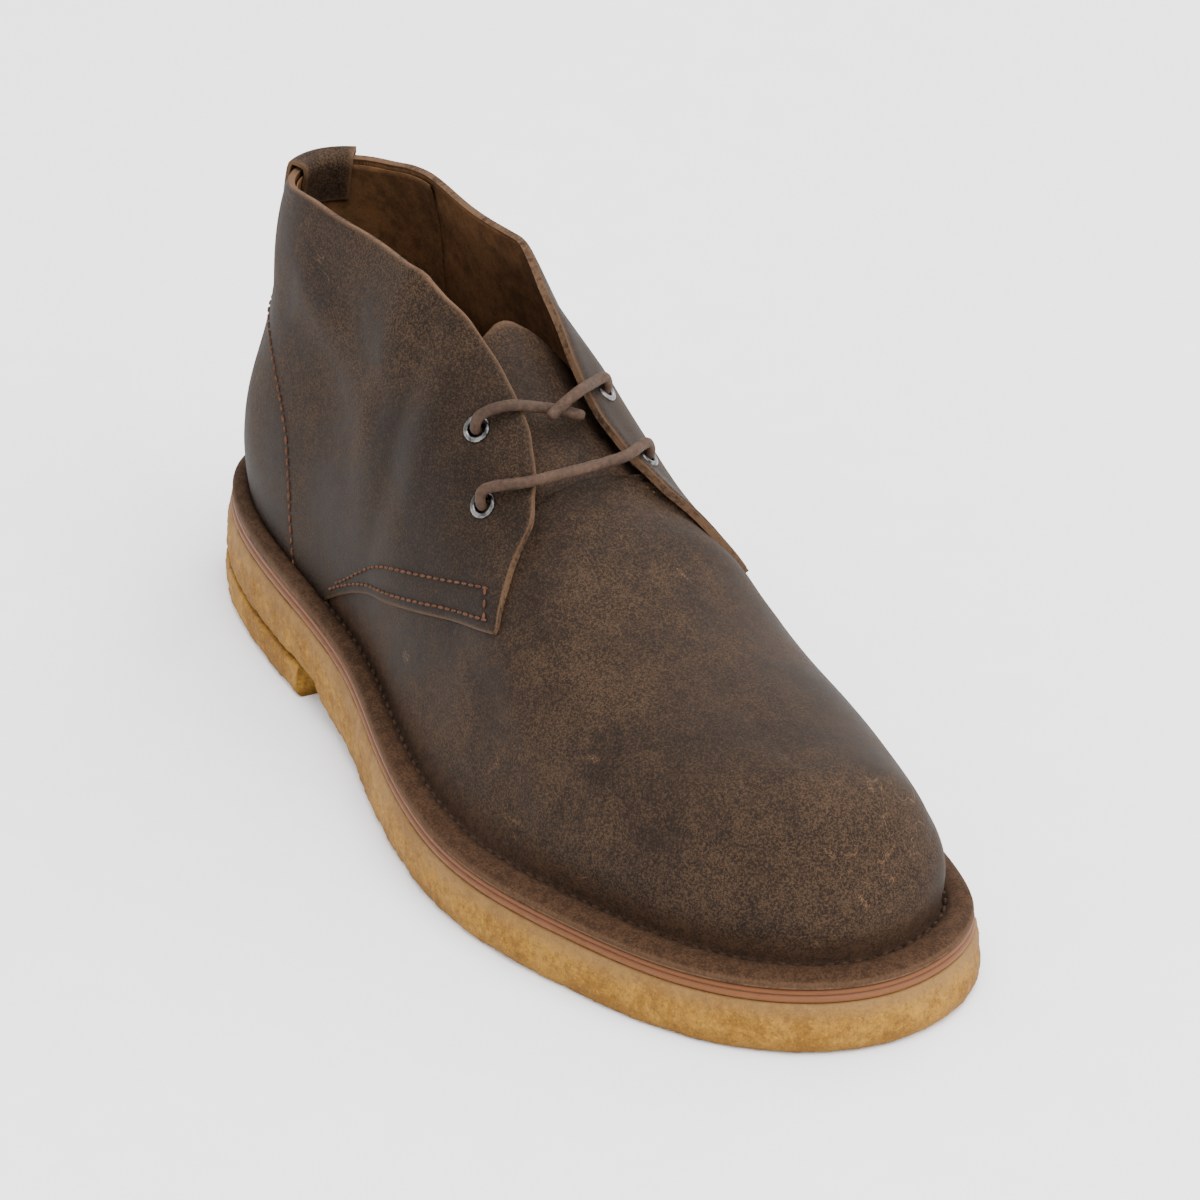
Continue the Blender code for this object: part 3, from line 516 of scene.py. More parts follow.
def frames(side, station, half):
    """Points and normals of the skin at stations and half widths from the ridge."""
    station, half = np.broadcast_arrays(np.asarray(station, float), np.asarray(half, float))
    return settle(side, station, lambda p: half - from_ridge(p))


def spots(side, x, z):
    """Points and normals of the skin at x and height z in mm."""
    x, z = np.broadcast_arrays(np.asarray(x, float), np.asarray(z, float))
    return settle(side, x / LENGTH, lambda p: p[..., 2] - z)


def smooth_run(points, spacing):
    """Evenly spaced points on a smooth curve through knots."""
    knots = np.asarray(points, float)
    ends = np.vstack([2 * knots[0] - knots[1], knots, 2 * knots[-1] - knots[-2]])
    t = np.linspace(0, 1, 24, endpoint=False)[:, None]
    dense = []
    for i in range(len(knots) - 1):
        a, b, c, d = ends[i:i + 4]
        dense.append(0.5 * (2 * b + (c - a) * t + (2 * a - 5 * b + 4 * c - d) * t ** 2
                            + (3 * b - a - 3 * c + d) * t ** 3))
    dense = np.vstack(dense + [knots[-1:]])
    run = np.r_[0, np.cumsum(np.linalg.norm(np.diff(dense, axis=0), axis=1))]
    even = np.linspace(0, run[-1], max(int(run[-1] / spacing) + 1, 4))
    return np.stack([np.interp(even, run, dense[:, k]) for k in range(dense.shape[1])], 1)


def grid_quads(rows, count, closed=False, ringed=False):
    """Quads of a grid of rows by count points, closed after the last row or round each row."""
    r = np.arange(rows if closed else rows - 1)[:, None]
    k = np.arange(count if ringed else count - 1)[None, :]
    n, j = (r + 1) % rows, (k + 1) % count
    quads = np.stack([r * count + k, n * count + k, n * count + j, r * count + j], -1)
    return quads.reshape(-1, 4)


def weld(points, quads):
    """Points with the same place joined: kept point numbers and the quads on them."""
    keys = np.round(np.asarray(points, float), 4)
    _, first, index = np.unique(keys, axis=0, return_index=True, return_inverse=True)
    return first, index.ravel()[quads]


def sheet_normals(points, quads, outward=True):
    """Unit normals of a sheet's points, pointing away from the spine where asked."""
    cross = np.cross(points[quads[:, 2]] - points[quads[:, 0]], points[quads[:, 3]] - points[quads[:, 1]])
    total = np.zeros_like(points)
    for k in range(4):
        np.add.at(total, quads[:, k], cross)
    total /= np.linalg.norm(total, axis=1)[:, None] + 1e-12
    spine = np.stack([np.clip(points[:, 0], 0.2 * LENGTH, 0.8 * LENGTH),
                      points[:, 0] * RIDGE_DRIFT, np.full(len(points), FORE_STACK)], 1)
    if outward and (total * (points - spine)).sum() < 0:
        total = -total
    return total


def added(name, data):
    """New object in the scene."""
    made = bpy.data.objects.new(name, data)
    bpy.context.scene.collection.objects.link(made)
    return made


def bake(made):
    """Keep an object's modified mesh and drop its modifiers."""
    bpy.context.view_layer.update()
    shown = made.evaluated_get(bpy.context.evaluated_depsgraph_get())
    baked = bpy.data.meshes.new_from_object(shown)
    made.modifiers.clear()
    made.data = baked


def piece(name, points, faces, paints, layers=None, slots=None, flat=None):
    """Object from shoe points in mm, with outward normals, float layers and material numbers."""
    mesh = bpy.data.meshes.new(name)
    mesh.from_pydata(place(points).tolist(), [], faces)
    for key, values in (layers or {}).items():
        layer = mesh.attributes.new(key, "FLOAT", "POINT")
        layer.data.foreach_set("value", np.asarray(values, np.float32))
    for paint in paints:
        mesh.materials.append(paint)
    count = len(mesh.polygons)
    if slots is not None:
        mesh.polygons.foreach_set("material_index", np.asarray(slots, np.int32))
    smooth = np.ones(count, bool)
    if flat is not None:
        smooth[np.asarray(flat)] = False
    mesh.polygons.foreach_set("use_smooth", smooth)
    work = bmesh.new()
    work.from_mesh(mesh)
    bmesh.ops.remove_doubles(work, verts=work.verts, dist=0.000002)
    bmesh.ops.dissolve_degenerate(work, edges=work.edges, dist=0.0000005)
    bmesh.ops.recalc_face_normals(work, faces=work.faces)
    work.to_mesh(mesh)
    work.free()
    return added(name, mesh)


def shell(name, points, quads, out, into, paints, layers=None, seat=None, outward=True, relief=None):
    """Closed wall either side of a sheet, with its outer, inner and cut faces painted."""
    first, quads = weld(points, quads)
    base = np.asarray(points, float)[first]
    normal = sheet_normals(base, quads, outward)
    if relief is not None:
        base = base + normal * relief(base)[:, None]
    out = np.broadcast_to(out, len(points))[first]
    into = np.broadcast_to(into, len(points))[first]
    outer = base + normal * out[:, None]
    inner = base - normal * into[:, None]
    if seat is not None:
        fixed = np.asarray(seat, float)[first]
        held = ~np.isnan(fixed[:, 0])
        inner[held] = fixed[held]
    count = len(base)
    faces, slots, flat = [], [], []
    used = {}
    for face in quads.tolist():
        corners = list(dict.fromkeys(face))
        if len(corners) < 3:
            continue
        for k in range(len(corners)):
            used[corners[k], corners[(k + 1) % len(corners)]] = True
        faces += [corners, [k + count for k in corners[::-1]]]
        slots += [0, 1]
    for a, b in used:
        if (b, a) not in used:
            flat.append(len(faces))
            faces.append([b, a, a + count, b + count])
            slots.append(2)
    spread = {key: np.tile(np.broadcast_to(values, len(points))[first], 2)
              for key, values in (layers or {}).items()}
    return piece(name, np.vstack([outer, inner]), faces, paints, spread, slots, flat)


def lathe(name, profile, centre, axis, paints, segments=40):
    """Solid of revolution of a closed profile of radius and height about an axis."""
    axis = axis / np.linalg.norm(axis)
    across = np.cross(axis, [1.0, 0.0, 0.0])
    across /= np.linalg.norm(across)
    other = np.cross(axis, across)
    points = []
    for k in range(segments):
        angle = 2 * math.pi * k / segments
        spoke = across * math.cos(angle) + other * math.sin(angle)
        points += [centre + spoke * r + axis * h for r, h in profile]
    faces = grid_quads(segments, len(profile), closed=True, ringed=True).tolist()
    return piece(name, np.array(points), faces, paints)


def tube(name, path, radius, paints, sides=18, flatness=0.0):
    """Round cord along points in mm, with domed ends."""
    path = np.asarray(path, float)
    ahead = np.gradient(path, axis=0)
    ahead /= np.linalg.norm(ahead, axis=1)[:, None]
    across = np.cross(ahead[0], [0.3, 0.2, 1.0])
    across /= np.linalg.norm(across)
    points = []
    turn = np.linspace(0, 2 * math.pi, sides, endpoint=False)
    last = len(path) - 1
    for i, centre in enumerate(path):
        across = across - ahead[i] * (across @ ahead[i])
        across /= np.linalg.norm(across)
        other = np.cross(ahead[i], across)
        wobble = 1 + 0.02 * math.sin(i * 0.9) + 0.015 * math.sin(i * 2.3 + 1.0)
        size = radius * wobble * (0.72 if i in (0, last) else 1.0)
        ring = (np.cos(turn)[:, None] * across * (1 + flatness)
                + np.sin(turn)[:, None] * other * (1 - flatness))
        points.append(centre + ring * size)
    faces = grid_quads(len(path), sides, ringed=True).tolist()
    faces += [list(range(sides))[::-1], [last * sides + k for k in range(sides)]]
    return piece(name, np.vstack(points), faces, paints)


class Value:
    """A shader value that takes Python's arithmetic."""

    def __init__(self, paint, socket):
        self.paint = paint
        self.socket = socket

    def _with(self, operation, first, second):
        return self.paint.node("ShaderNodeMath", {"operation": operation}, {0: first, 1: second}).out()

    def __add__(self, other):
        return self._with("ADD", self, other)

    def __sub__(self, other):
        return self._with("SUBTRACT", self, other)

    def __rsub__(self, other):
        return self._with("SUBTRACT", other, self)

    def __mul__(self, other):
        return self._with("MULTIPLY", self, other)

    def __abs__(self):
        return self._with("ABSOLUTE", self, 0.0)

    __radd__, __rmul__ = __add__, __mul__


class Made:
    """A node of a paint, with its outputs as values."""

    def __init__(self, paint, node):
        self.paint = paint
        self.node = node

    def out(self, key=0):
        return Value(self.paint, self.node.outputs[key])


class Paint:
    """A procedural material built from values."""

    def __init__(self, name):
        self.material = bpy.data.materials.new(name)
        self.material.use_nodes = True
        self.tree = self.material.node_tree
        self.shader = self.tree.nodes["Principled BSDF"]
        self.where = self.node("ShaderNodeTexCoord").out("Object")

    def feed(self, socket, value):
        """Link or set one socket."""
        if isinstance(value, Value):
            self.tree.links.new(value.socket, socket)
        elif hasattr(socket.default_value, "__len__") and len(socket.default_value) == 4:
            socket.default_value = (*value[:3], 1.0)
        else:
            socket.default_value = value

    def node(self, kind, settings=None, inputs=None):
        """Any node from its type, settings and the values of its sockets."""
        made = self.tree.nodes.new(kind)
        for key, value in (settings or {}).items():
            setattr(made, key, value)
        for key, value in (inputs or {}).items():
            self.feed(made.inputs[key], value)
        return Made(self, made)

    def noise(self, scale, detail=3.0, rough=0.55, where=None, warp=0.0):
        """Noise value with features of about 1 / scale metres."""
        return self.node("ShaderNodeTexNoise", {}, {
            "Vector": where or self.where, "Scale": scale, "Detail": detail, "Roughness": rough,
            "Distortion": warp}).out()

    def stretched(self, turn, scale):
        """Object place turned and scaled."""
        return self.node("ShaderNodeMapping", {}, {
            "Vector": self.where, "Rotation": turn, "Scale": scale}).out()

    def layer(self, name):
        """A mesh's own float layer."""
        return self.node("ShaderNodeAttribute", {"attribute_name": name}).out("Fac")

    def step(self, value, low, high):
        """Smooth step between two levels."""
        return self.node("ShaderNodeMapRange", {"interpolation_type": "SMOOTHSTEP"}, {
            "Value": value, "From Min": low, "From Max": high}).out()

    def mix(self, first, second, factor, kind="MIX"):
        """Mix of two colours."""
        return self.node("ShaderNodeMix", {"data_type": "RGBA", "blend_type": kind},
                         {0: factor, 6: first, 7: second}).out(2)

    def bump(self, height, strength, depth):
        """Normal from a height, depth in mm."""
        return self.node("ShaderNodeBump", {}, {
            "Strength": strength, "Distance": depth * MM, "Height": height}).out()

    def finish(self, **inputs):
        """Feed the shader and hand back the material."""
        for key, value in inputs.items():
            self.feed(self.shader.inputs[key.replace("_", " ")], value)
        return self.material


def scratches(paint, turn, scale, patches, low):
    """Thin broken lines in scattered patches."""
    line = paint.noise(scale, 2.0, 0.5, paint.stretched(turn, (1.0, 4.5, 4.5)))
    thin = 1 - paint.step(abs(line - 0.5), 0.0, 0.011)
    return thin * paint.step(paint.noise(patches, 2.0), low, low + 0.09)


def scuffed(paint):
    """Scuffs at listed places, broken up by noise."""
    total = None
    for index, (start, end, width) in enumerate(SCUFFS):
        a, b = Vector(start) * MM, Vector(end) * MM
        turn = (b - a).to_track_quat("X", "Z").to_euler()
        local = paint.node("ShaderNodeMapping", {"vector_type": "TEXTURE"}, {
            "Vector": paint.where, "Location": (a + b) / 2, "Rotation": turn,
            "Scale": ((b - a).length / 2, width * MM / 2, 3 * MM)}).out()
        reach = paint.node("ShaderNodeVectorMath", {"operation": "LENGTH"}, {0: local}).out("Value")
        mark = 1 - paint.step(reach * 0.6 + paint.noise(800 + 31 * index, 3.0, 0.7) * 1.6, 0.9, 1.4)
        total = mark if total is None else total + mark
    return total


def oiled_leather(name, look, tint=1.0, rub=0.0):
    """Dark oiled leather, paler where it is rubbed, at specks, scratches and cut edges, with painted shade
    along the seams.
    """
    p = Paint(name)
    broad = p.noise(13, 2.0, 0.5)
    cloud = p.noise(55, 4.0, 0.62)
    mottle = p.noise(300, 4.0, 0.7)
    grain = p.noise(1600, 3.0, 0.7)
    fleck = p.noise(3400, 2.0, 0.7)
    worn = p.step(broad * 0.55 + cloud * 0.45 + rub, 0.42, 0.62)
    # The tint scales the whole face colour; the quarters' 0.64 is painted shade for sides turned from the
    # light.
    tone = p.mix([c * tint for c in look.deep], [c * tint for c in look.shade],
                 p.step(mottle * 0.4 + cloud * 0.6, 0.34, 0.62))
    specks = p.step(grain * 0.55 + fleck * 0.45 + worn * 0.02, 0.49, 0.575)
    tone = p.mix(tone, look.deep, p.step(fleck * 0.6 + grain * 0.4, 0.52, 0.42) * 0.70)
    tone = p.mix(tone, look.rubbed, specks * (0.36 + worn * 0.30))
    tone = p.mix(tone, look.rubbed, worn * p.step(mottle, 0.48, 0.72) * 0.22)
    lines = scratches(p, (0.3, 0.5, 0.9), 26, 17, 0.60) + scratches(p, (1.1, 0.2, 2.1), 34, 23, 0.63)
    tone = p.mix(tone, look.scuff, lines * (0.22 + specks * 0.4))
    tone = p.mix(tone, look.scuff, scuffed(p) * (0.10 + specks * 0.5))
    flange = p.layer("flange")
    tone = p.mix(tone, [c * 0.48 for c in look.suede], flange)
    tone = p.mix(tone, look.suede, flange * p.step(grain * 0.6 + mottle * 0.4, 0.43, 0.58))
    tone = p.mix(tone, look.cut, p.layer("edge") * (0.30 + grain * 0.8))
    # Painted shade: darker along the seams, where the stitches sink into grooves and channels.
    tone = p.mix(tone, look.deep, p.layer("seam") * 0.75)
    height = grain * 0.6 + fleck * 0.5 + mottle * 0.4 - lines * 0.35
    return p.finish(
        Base_Color=tone, Roughness=0.56 + worn * 0.12 + specks * 0.12 + flange * 0.2,
        Specular_IOR_Level=0.08, Normal=p.bump(height, 0.6, look.grain))


def flesh_leather(name, look):
    """Napped flesh side of the leather, with darker stains."""
    p = Paint(name)
    stain = p.noise(36, 4.0, 0.6)
    nap = p.noise(900, 3.0, 0.7)
    tuft = p.noise(260, 4.0, 0.65)
    tone = p.mix(look.flesh_deep, look.flesh, p.step(stain * 0.6 + tuft * 0.4, 0.38, 0.60))
    tone = p.mix(tone, look.scuff, p.step(nap, 0.60, 0.78) * 0.22)
    return p.finish(Base_Color=tone, Roughness=0.92, Specular_IOR_Level=0.1,
                    Normal=p.bump(nap * 0.6 + tuft * 0.6, 0.7, look.grain * 1.6))


def cut_edge(name, look):
    """Raw cut edge of the leather."""
    p = Paint(name)
    fibre = p.noise(800, 3.0, 0.7)
    patch = p.noise(90, 3.0, 0.6)
    tone = p.mix(look.shade, look.cut, p.step(fibre * 0.5 + patch * 0.5, 0.34, 0.56))
    return p.finish(Base_Color=tone, Roughness=0.85, Specular_IOR_Level=0.12,
                    Normal=p.bump(fibre, 0.6, 0.15))


def thread(name, colour):
    """Waxed sewing thread."""
    p = Paint(name)
    fibre = p.noise(1400, 2.0, 0.6)
    tone = p.mix([c * 0.55 for c in colour], colour, p.step(fibre, 0.35, 0.6))
    return p.finish(Base_Color=tone, Roughness=0.8, Specular_IOR_Level=0.12,
                    Normal=p.bump(fibre, 0.5, 0.1))


def lace_leather(name, look):
    """Round leather lace, paler along its worn ridges."""
    p = Paint(name)
    along = p.noise(120, 3.0, 0.6)
    fibre = p.noise(900, 3.0, 0.65)
    tone = p.mix([c * 0.55 for c in look.colour], look.colour,
                 p.step(along * 0.5 + fibre * 0.5, 0.36, 0.58))
    tone = p.mix(tone, look.worn, p.step(fibre * 0.6 + along * 0.4, 0.55, 0.70) * 0.5)
    return p.finish(Base_Color=tone, Roughness=0.72, Specular_IOR_Level=0.18,
                    Normal=p.bump(fibre * 0.6 + along, 0.5, 0.25))


def dark_steel(name):
    """Dull dark plating on the eyelets."""
    p = Paint(name)
    haze = p.noise(420, 3.0, 0.6)
    tone = p.mix((0.030, 0.030, 0.032), (0.20, 0.195, 0.19), p.step(haze, 0.34, 0.66))
    return p.finish(Base_Color=tone, Metallic=1.0, Roughness=0.20 + haze * 0.22,
                    Normal=p.bump(haze, 0.25, 0.05))


def crepe_rubber(name, look, shade=1.0):
    """Honey crepe with fine pale and dark grains, dusty under the midsole and darker in spots towards the
    ground.
    """
    p = Paint(name)
    cloud = p.noise(60, 5.0, 0.65)
    crumb = p.noise(520, 4.0, 0.7)
    grit = p.noise(1500, 3.0, 0.75)
    flow = p.noise(34, 4.0, 0.6, p.stretched((0.0, 0.0, 0.0), (1.0, 1.0, 3.0)))
    pale, honey, dark = ([c * shade for c in tone] for tone in (look.pale, look.honey, look.dark))
    tone = p.mix(honey, pale, p.step(cloud * 0.5 + flow * 0.3 + crumb * 0.2, 0.42, 0.60))
    tone = p.mix(tone, dark, p.step(grit * 0.6 + crumb * 0.4, 0.50, 0.40) * 0.60)
    tone = p.mix(tone, [c * 1.45 for c in pale], p.step(grit * 0.6 + crumb * 0.4, 0.53, 0.62) * 0.50)
    tone = p.mix(tone, look.dust, p.step(p.layer("rise") + cloud * 0.5, 0.80, 1.35) * 0.75)
    # Darker in spots towards the ground.
    tone = p.mix(tone, dark, p.layer("ground") * p.step(crumb, 0.36, 0.60) * 0.45)
    return p.finish(Base_Color=tone, Roughness=0.66 + crumb * 0.22, Specular_IOR_Level=0.22,
                    Normal=p.bump(crumb * 0.8 + grit * 0.6, 0.7, 0.35))


def midsole_edge(name, look):
    """Two bands of cut leather, the lower one paler, with a dark line between them and painted shadow along
    the top under the flange.
    """
    p = Paint(name)
    band = p.layer("band")
    fibre = p.noise(260, 4.0, 0.65, p.stretched((0.0, 0.0, 0.0), (1.0, 1.0, 6.0)))
    fine = p.noise(1100, 2.0, 0.65)
    patch = p.noise(28, 3.0, 0.55)
    tone = p.mix(look.lower, look.upper, p.step(band, 0.50, 0.56))
    tone = p.mix(tone, look.line, (1 - p.step(abs(band - 0.53), 0.02, 0.06)) * 0.75)
    # Painted shadow: the top of the edge darkened with the line colour, where the flange overhangs it.
    tone = p.mix(tone, look.line, p.step(band, 0.90, 1.0) * 0.7)
    tone = p.mix(tone, [c * 0.62 for c in look.upper], p.step(patch * 0.5 + fibre * 0.5, 0.52, 0.66) * 0.6)
    tone = p.mix(tone, look.lower, p.step(fine, 0.60, 0.75) * 0.35)
    return p.finish(Base_Color=tone, Roughness=0.46 + fibre * 0.25, Specular_IOR_Level=0.25,
                    Normal=p.bump(fibre * 0.8 + fine * 0.3, 0.5, 0.2))


def studio_floor(name, look):
    """Pale paper floor."""
    p = Paint(name)
    fibre = p.noise(60, 3.0)
    tone = p.mix([c * 0.985 for c in look.floor], look.floor, p.step(fibre, 0.4, 0.6))
    return p.finish(Base_Color=tone, Roughness=0.95, Specular_IOR_Level=0.1)


def colour(label, text, value):
    """Colour property of a look."""
    return FloatVectorProperty(name=label, description=text, default=value, size=3, min=0.0, max=1.0,
                               subtype="COLOR")


class LeatherLook(bpy.types.PropertyGroup):
    """Colours and surface of the leather."""

    shade: colour("Leather", "Main colour of the oiled face", (0.0228, 0.0136, 0.0086))
    deep: colour("Deep", "Darkest colour of the oiled face", (0.0098, 0.0060, 0.0044))
    rubbed: colour("Rubbed", "Colour where the oil is rubbed off", (0.068, 0.040, 0.0225))
    scuff: colour("Scuff", "Colour of scratches", (0.135, 0.076, 0.040))
    cut: colour("Cut edge", "Colour of raw edges", (0.092, 0.051, 0.028))
    flesh: colour("Flesh side", "Colour of the inside", (0.130, 0.062, 0.026))
    flesh_deep: colour("Flesh side, deep", "Darkest colour of the inside", (0.060, 0.029, 0.013))
    grain: FloatProperty(name="Grain", description="Depth of the grain in mm", default=0.22, min=0.0)
    suede: colour("Flange", "Colour of the napped flange", (0.050, 0.0255, 0.0135))
    folds: FloatProperty(name="Folds", description="Strength of the soft folds", default=1.0, min=0.0)


class SeamLook(bpy.types.PropertyGroup):
    """Thread and spacing of the seams."""

    fine: colour("Fine thread", "Thread of the panels' seams", (0.090, 0.040, 0.022))
    heavy: colour("Heavy thread", "Thread of the flange seam", (0.034, 0.018, 0.0105))
    fine_pitch: FloatProperty(name="Fine pitch", description="Spacing of the panels' stitches",
                              default=PANEL_STITCH * MM, subtype="DISTANCE", unit="LENGTH")
    heavy_pitch: FloatProperty(name="Heavy pitch", description="Spacing of the flange stitches",
                               default=STITCH_PULL * MM, subtype="DISTANCE", unit="LENGTH")


class LaceLook(bpy.types.PropertyGroup):
    """Size and colours of the lace."""

    diameter: FloatProperty(name="Diameter", description="Thickness of the lace", default=LACE * MM,
                            subtype="DISTANCE", unit="LENGTH")
    colour: colour("Lace", "Main colour of the lace", (0.055, 0.031, 0.020))
    worn: colour("Worn", "Colour of its worn ridges", (0.108, 0.066, 0.043))


class SoleLook(bpy.types.PropertyGroup):
    """Colours of the crepe and the midsole."""

    honey: colour("Honey", "Main colour of the crepe", (0.160, 0.070, 0.0065))
    pale: colour("Pale", "Palest colour of the crepe", (0.270, 0.135, 0.018))
    dark: colour("Dark", "Colour of pits and dust", (0.095, 0.042, 0.007))
    upper: colour("Upper band", "Upper band of the midsole", (0.125, 0.042, 0.011))
    lower: colour("Lower band", "Lower band of the midsole", (0.130, 0.046, 0.013))
    dust: colour("Dust", "Colour of the crepe under the midsole", (0.150, 0.084, 0.037))
    # The line colour also paints the shadow under the flange along the midsole's top.
    line: colour("Line", "Line between the bands", (0.090, 0.036, 0.018))
    lumps: FloatProperty(name="Lumps", description="Depth of the lumps in mm", default=0.42, min=0.0)


class StageLook(bpy.types.PropertyGroup):
    """Camera, light and floor."""

    floor: colour("Floor", "Colour of the floor", (0.95, 0.95, 0.962))
    light: FloatProperty(name="Light", description="Strength of the sky", default=1.85, min=0.0)
    key: FloatProperty(name="Key light", description="Power of the overhead light", default=50.0, min=0.0,
                       subtype="POWER", unit="POWER")
    lens: FloatProperty(name="Lens", description="Focal length", default=221.0, subtype="DISTANCE_CAMERA")


def fold_relief(points):
    """Height of the soft folds at points, in mm."""
    total = np.zeros(len(points))
    strength = bpy.context.scene.boot_leather.folds
    side = np.where(points[:, 1] < points[:, 0] * RIDGE_DRIFT, -1, 1)
    flat = points[:, [0, 2]]
    for which, x0, z0, x1, z1, width, depth in FOLDS:
        a = np.array([x0 * LENGTH, z0 * COLLAR_HEIGHT])
        b = np.array([x1 * LENGTH, z1 * COLLAR_HEIGHT])
        t = np.clip(((flat - a) @ (b - a)) / ((b - a) @ (b - a)), 0, 1)
        away = np.linalg.norm(flat - (a + t[:, None] * (b - a)), axis=1)
        total += np.where(side == which, depth * np.exp(-(away / width) ** 2), 0.0)
    return total * strength


def dip(share, half):
    """How far the vamp sinks, 0 to 1, to run on as the tongue between the front edges."""
    between = 1 - soft(half - WIDTH * table(FRONT, 1, share), 1.0, 4.0)
    return soft(TONGUE_ROOT - share, 0.0, SINK_RUN) * between * soft(share, *SINK_FROM)


def pucker(side, tau):
    """Wave of the flange seam's pull along one side."""
    return np.cos(2 * math.pi * tau * HALVES[side][3] / STITCH_PULL)


def seam_paths():
    """Every seam: group, points and normals on the leather, and height over it."""
    over = QUARTER_WALL
    paths = []
    for side in (-1, 1):
        start = LOWER[0][0] * LENGTH
        ends = []
        for first, last, low, high in PANEL_ROWS:
            x = np.linspace(start + first, last, 70)
            lift = high - (high - low) * (1 - soft(x, start + first, start + PANEL_SPREAD))
            row, row_n = spots(side, x, COLLAR_HEIGHT * table(LOWER, 1, x / LENGTH) + lift)
            paths.append(("fine", row, row_n, over))
            ends.append(row[-1])
        bar = np.linspace(*ends, 12)[1:-1]
        bar, bar_n = spots(side, bar[:, 0], bar[:, 2])
        paths.append(("fine", bar, bar_n, over))
        seam = smooth_run([(a * LENGTH, b * COLLAR_HEIGHT, 0.0) for a, b in COUNTER_SEAM], 1.2)
        counter, counter_n = spots(side, seam[:, 0], seam[:, 1])
        paths.append(("fine", counter, counter_n, over))
        tau = np.linspace(0.0, 1.0, 330)
        edge_x, _ = plan(side, tau, 0.0)
        fx, fy = plan(side, tau, flange_width(side, edge_x) * FLANGE_SEAM)
        rest = np.stack([fx, fy, bed(edge_x) + FLANGE_SEAM_RISE], 1)
        paths.append(("heavy", rest, np.tile([0.0, 0.0, 1.0], (len(rest), 1)), 0.1))
    return paths


def near_seam(points, paths, kind, width):
    """Closeness of points to the seams of one kind, from 0 to 1."""
    line = np.vstack([path[1] for path in paths if path[0] == kind])
    tree = kdtree.KDTree(len(line))
    for i, spot in enumerate(line):
        tree.insert(Vector(spot), i)
    tree.balance()
    away = np.array([tree.find(Vector(spot))[2] for spot in points])
    return np.exp(-(away / width) ** 2)


def eyelet_frames():
    """Centre and axis of every eyelet, by node name."""
    found = {}
    for where, (station, half) in EYELETS.items():
        side = -1 if where.endswith("outer") else 1
        found[f"eyelet_{where}"] = frames(side, station, half * WIDTH)
    return found


def punch(made):
    """Cut the four eyelet holes through a panel for good."""
    radius = EYELET_HOLE / 2 + EYELET_WALL + CLEAR
    work = bmesh.new()
    for centre, axis in eyelet_frames().values():
        turn = Vector(axis).to_track_quat("Z", "Y").to_matrix().to_4x4()
        spot = Matrix.Translation(place(centre)) @ turn
        bmesh.ops.create_cone(work, cap_ends=True, segments=32, radius1=radius * MM, radius2=radius * MM,
                              depth=12 * MM, matrix=spot)
    mesh = bpy.data.meshes.new("holes")
    work.to_mesh(mesh)
    work.free()
    cutter = added("holes", mesh)
    step = made.modifiers.new("Holes", "BOOLEAN")
    step.operation, step.solver, step.object = "DIFFERENCE", "EXACT", cutter
    bake(made)
    bpy.data.objects.remove(cutter)


def leathers(look, prefix, **options):
    """Face, flesh side and cut edge of one panel."""
    return [oiled_leather(prefix + "_leather", look, **options), flesh_leather(prefix + "_flesh", look),
            cut_edge(prefix + "_edge", look)]


def vamp_side(side, tau):
    """One side of the vamp's sheet: points, seat on the midsole, layers, wall and sink."""
    shares, lifts = (np.array(column) for column in zip(*FLANGE_ROLL))
    spine = spine_x(tau)
    open_top = spine < THROAT * LENGTH
    tops = np.where(open_top, top_climb(side, tau, BACKING_STEP, THROAT_STEP), math.pi / 2)
    climb = tops[:, None] * np.linspace(0, 1, WALL_ROWS + 1)[None, :] ** 0.9
    wall = skin(side, np.repeat(tau[:, None], WALL_ROWS + 1, 1), climb)
    edge_x, _ = plan(side, tau, 0.0)
    width = flange_width(side, edge_x)[:, None]
    inset = FLANGE_BACK + (width - FLANGE_BACK) * shares
    x, y = plan(side, np.repeat(tau[:, None], len(shares), 1), inset)
    gather = PUCKER * np.exp(-((shares - PUCKER_AT) / PUCKER_SPREAD) ** 2)
    lap = LAP_RISE * (1 - soft(edge_x, *LAP_ENDS))[:, None] * soft(1 - shares, 0.1, 0.3)
    z = bed(edge_x)[:, None] + lifts + pucker(side, tau)[:, None] * gather + lap
    flange = np.stack([x, y, z], -1)
    grid = np.concatenate([flange, wall], 1)
    seat = np.full(grid.shape, np.nan)
    seat[:, :len(shares)] = flange
    foot_x, foot_y = plan(side, tau, width[:, 0] + VAMP_WALL)
    seat[:, len(shares), 0], seat[:, len(shares), 1] = foot_x, foot_y
    seat[:, :len(shares) + 1, 2] = bed(edge_x)[:, None] + 0.05
    napped = np.repeat((1 - soft(shares, 0.93, 1.0))[None, :], len(tau), 0)
    from_foot = np.linalg.norm(wall - wall[:, :1], axis=2)
    rise = np.linalg.norm(np.diff(wall, axis=1), axis=2)
    from_top = np.concatenate([np.cumsum(rise[:, ::-1], 1)[:, ::-1], np.zeros((len(tau), 1))], 1)
    open_top = open_top[:, None]
    flange_edge = 0.6 * np.exp(-(np.maximum(inset - 0.9, 0) / 0.3) ** 2)
    wall_edge = np.where(open_top, np.exp(-(from_top / 0.8) ** 2), 0.0)
    thin = np.where(open_top, SKIVE * (1 - soft(from_top, *SKIVE_REACH)), 0.0)
    sink = dip(wall[..., 0] / LENGTH, from_ridge(wall))
    feather = FEATHER * soft(FEATHER_TO - wall[..., 0] / LENGTH, 0.0, 0.02) * (sink > 0.3)
    parts = {
        "edge": (flange_edge, wall_edge),
        "flange": (napped, 0.7 * (1 - soft(from_foot, *NAP_REACH))),
        "wall": (np.full(inset.shape, VAMP_WALL), np.maximum(VAMP_WALL - thin - feather, 0.1)),
        "sink": (np.zeros(inset.shape), sink * (VAMP_WALL + TONGUE_CLEAR)),
    }
    return {"grid": grid, "seat": seat, **{key: np.concatenate(pair, 1) for key, pair in parts.items()}}


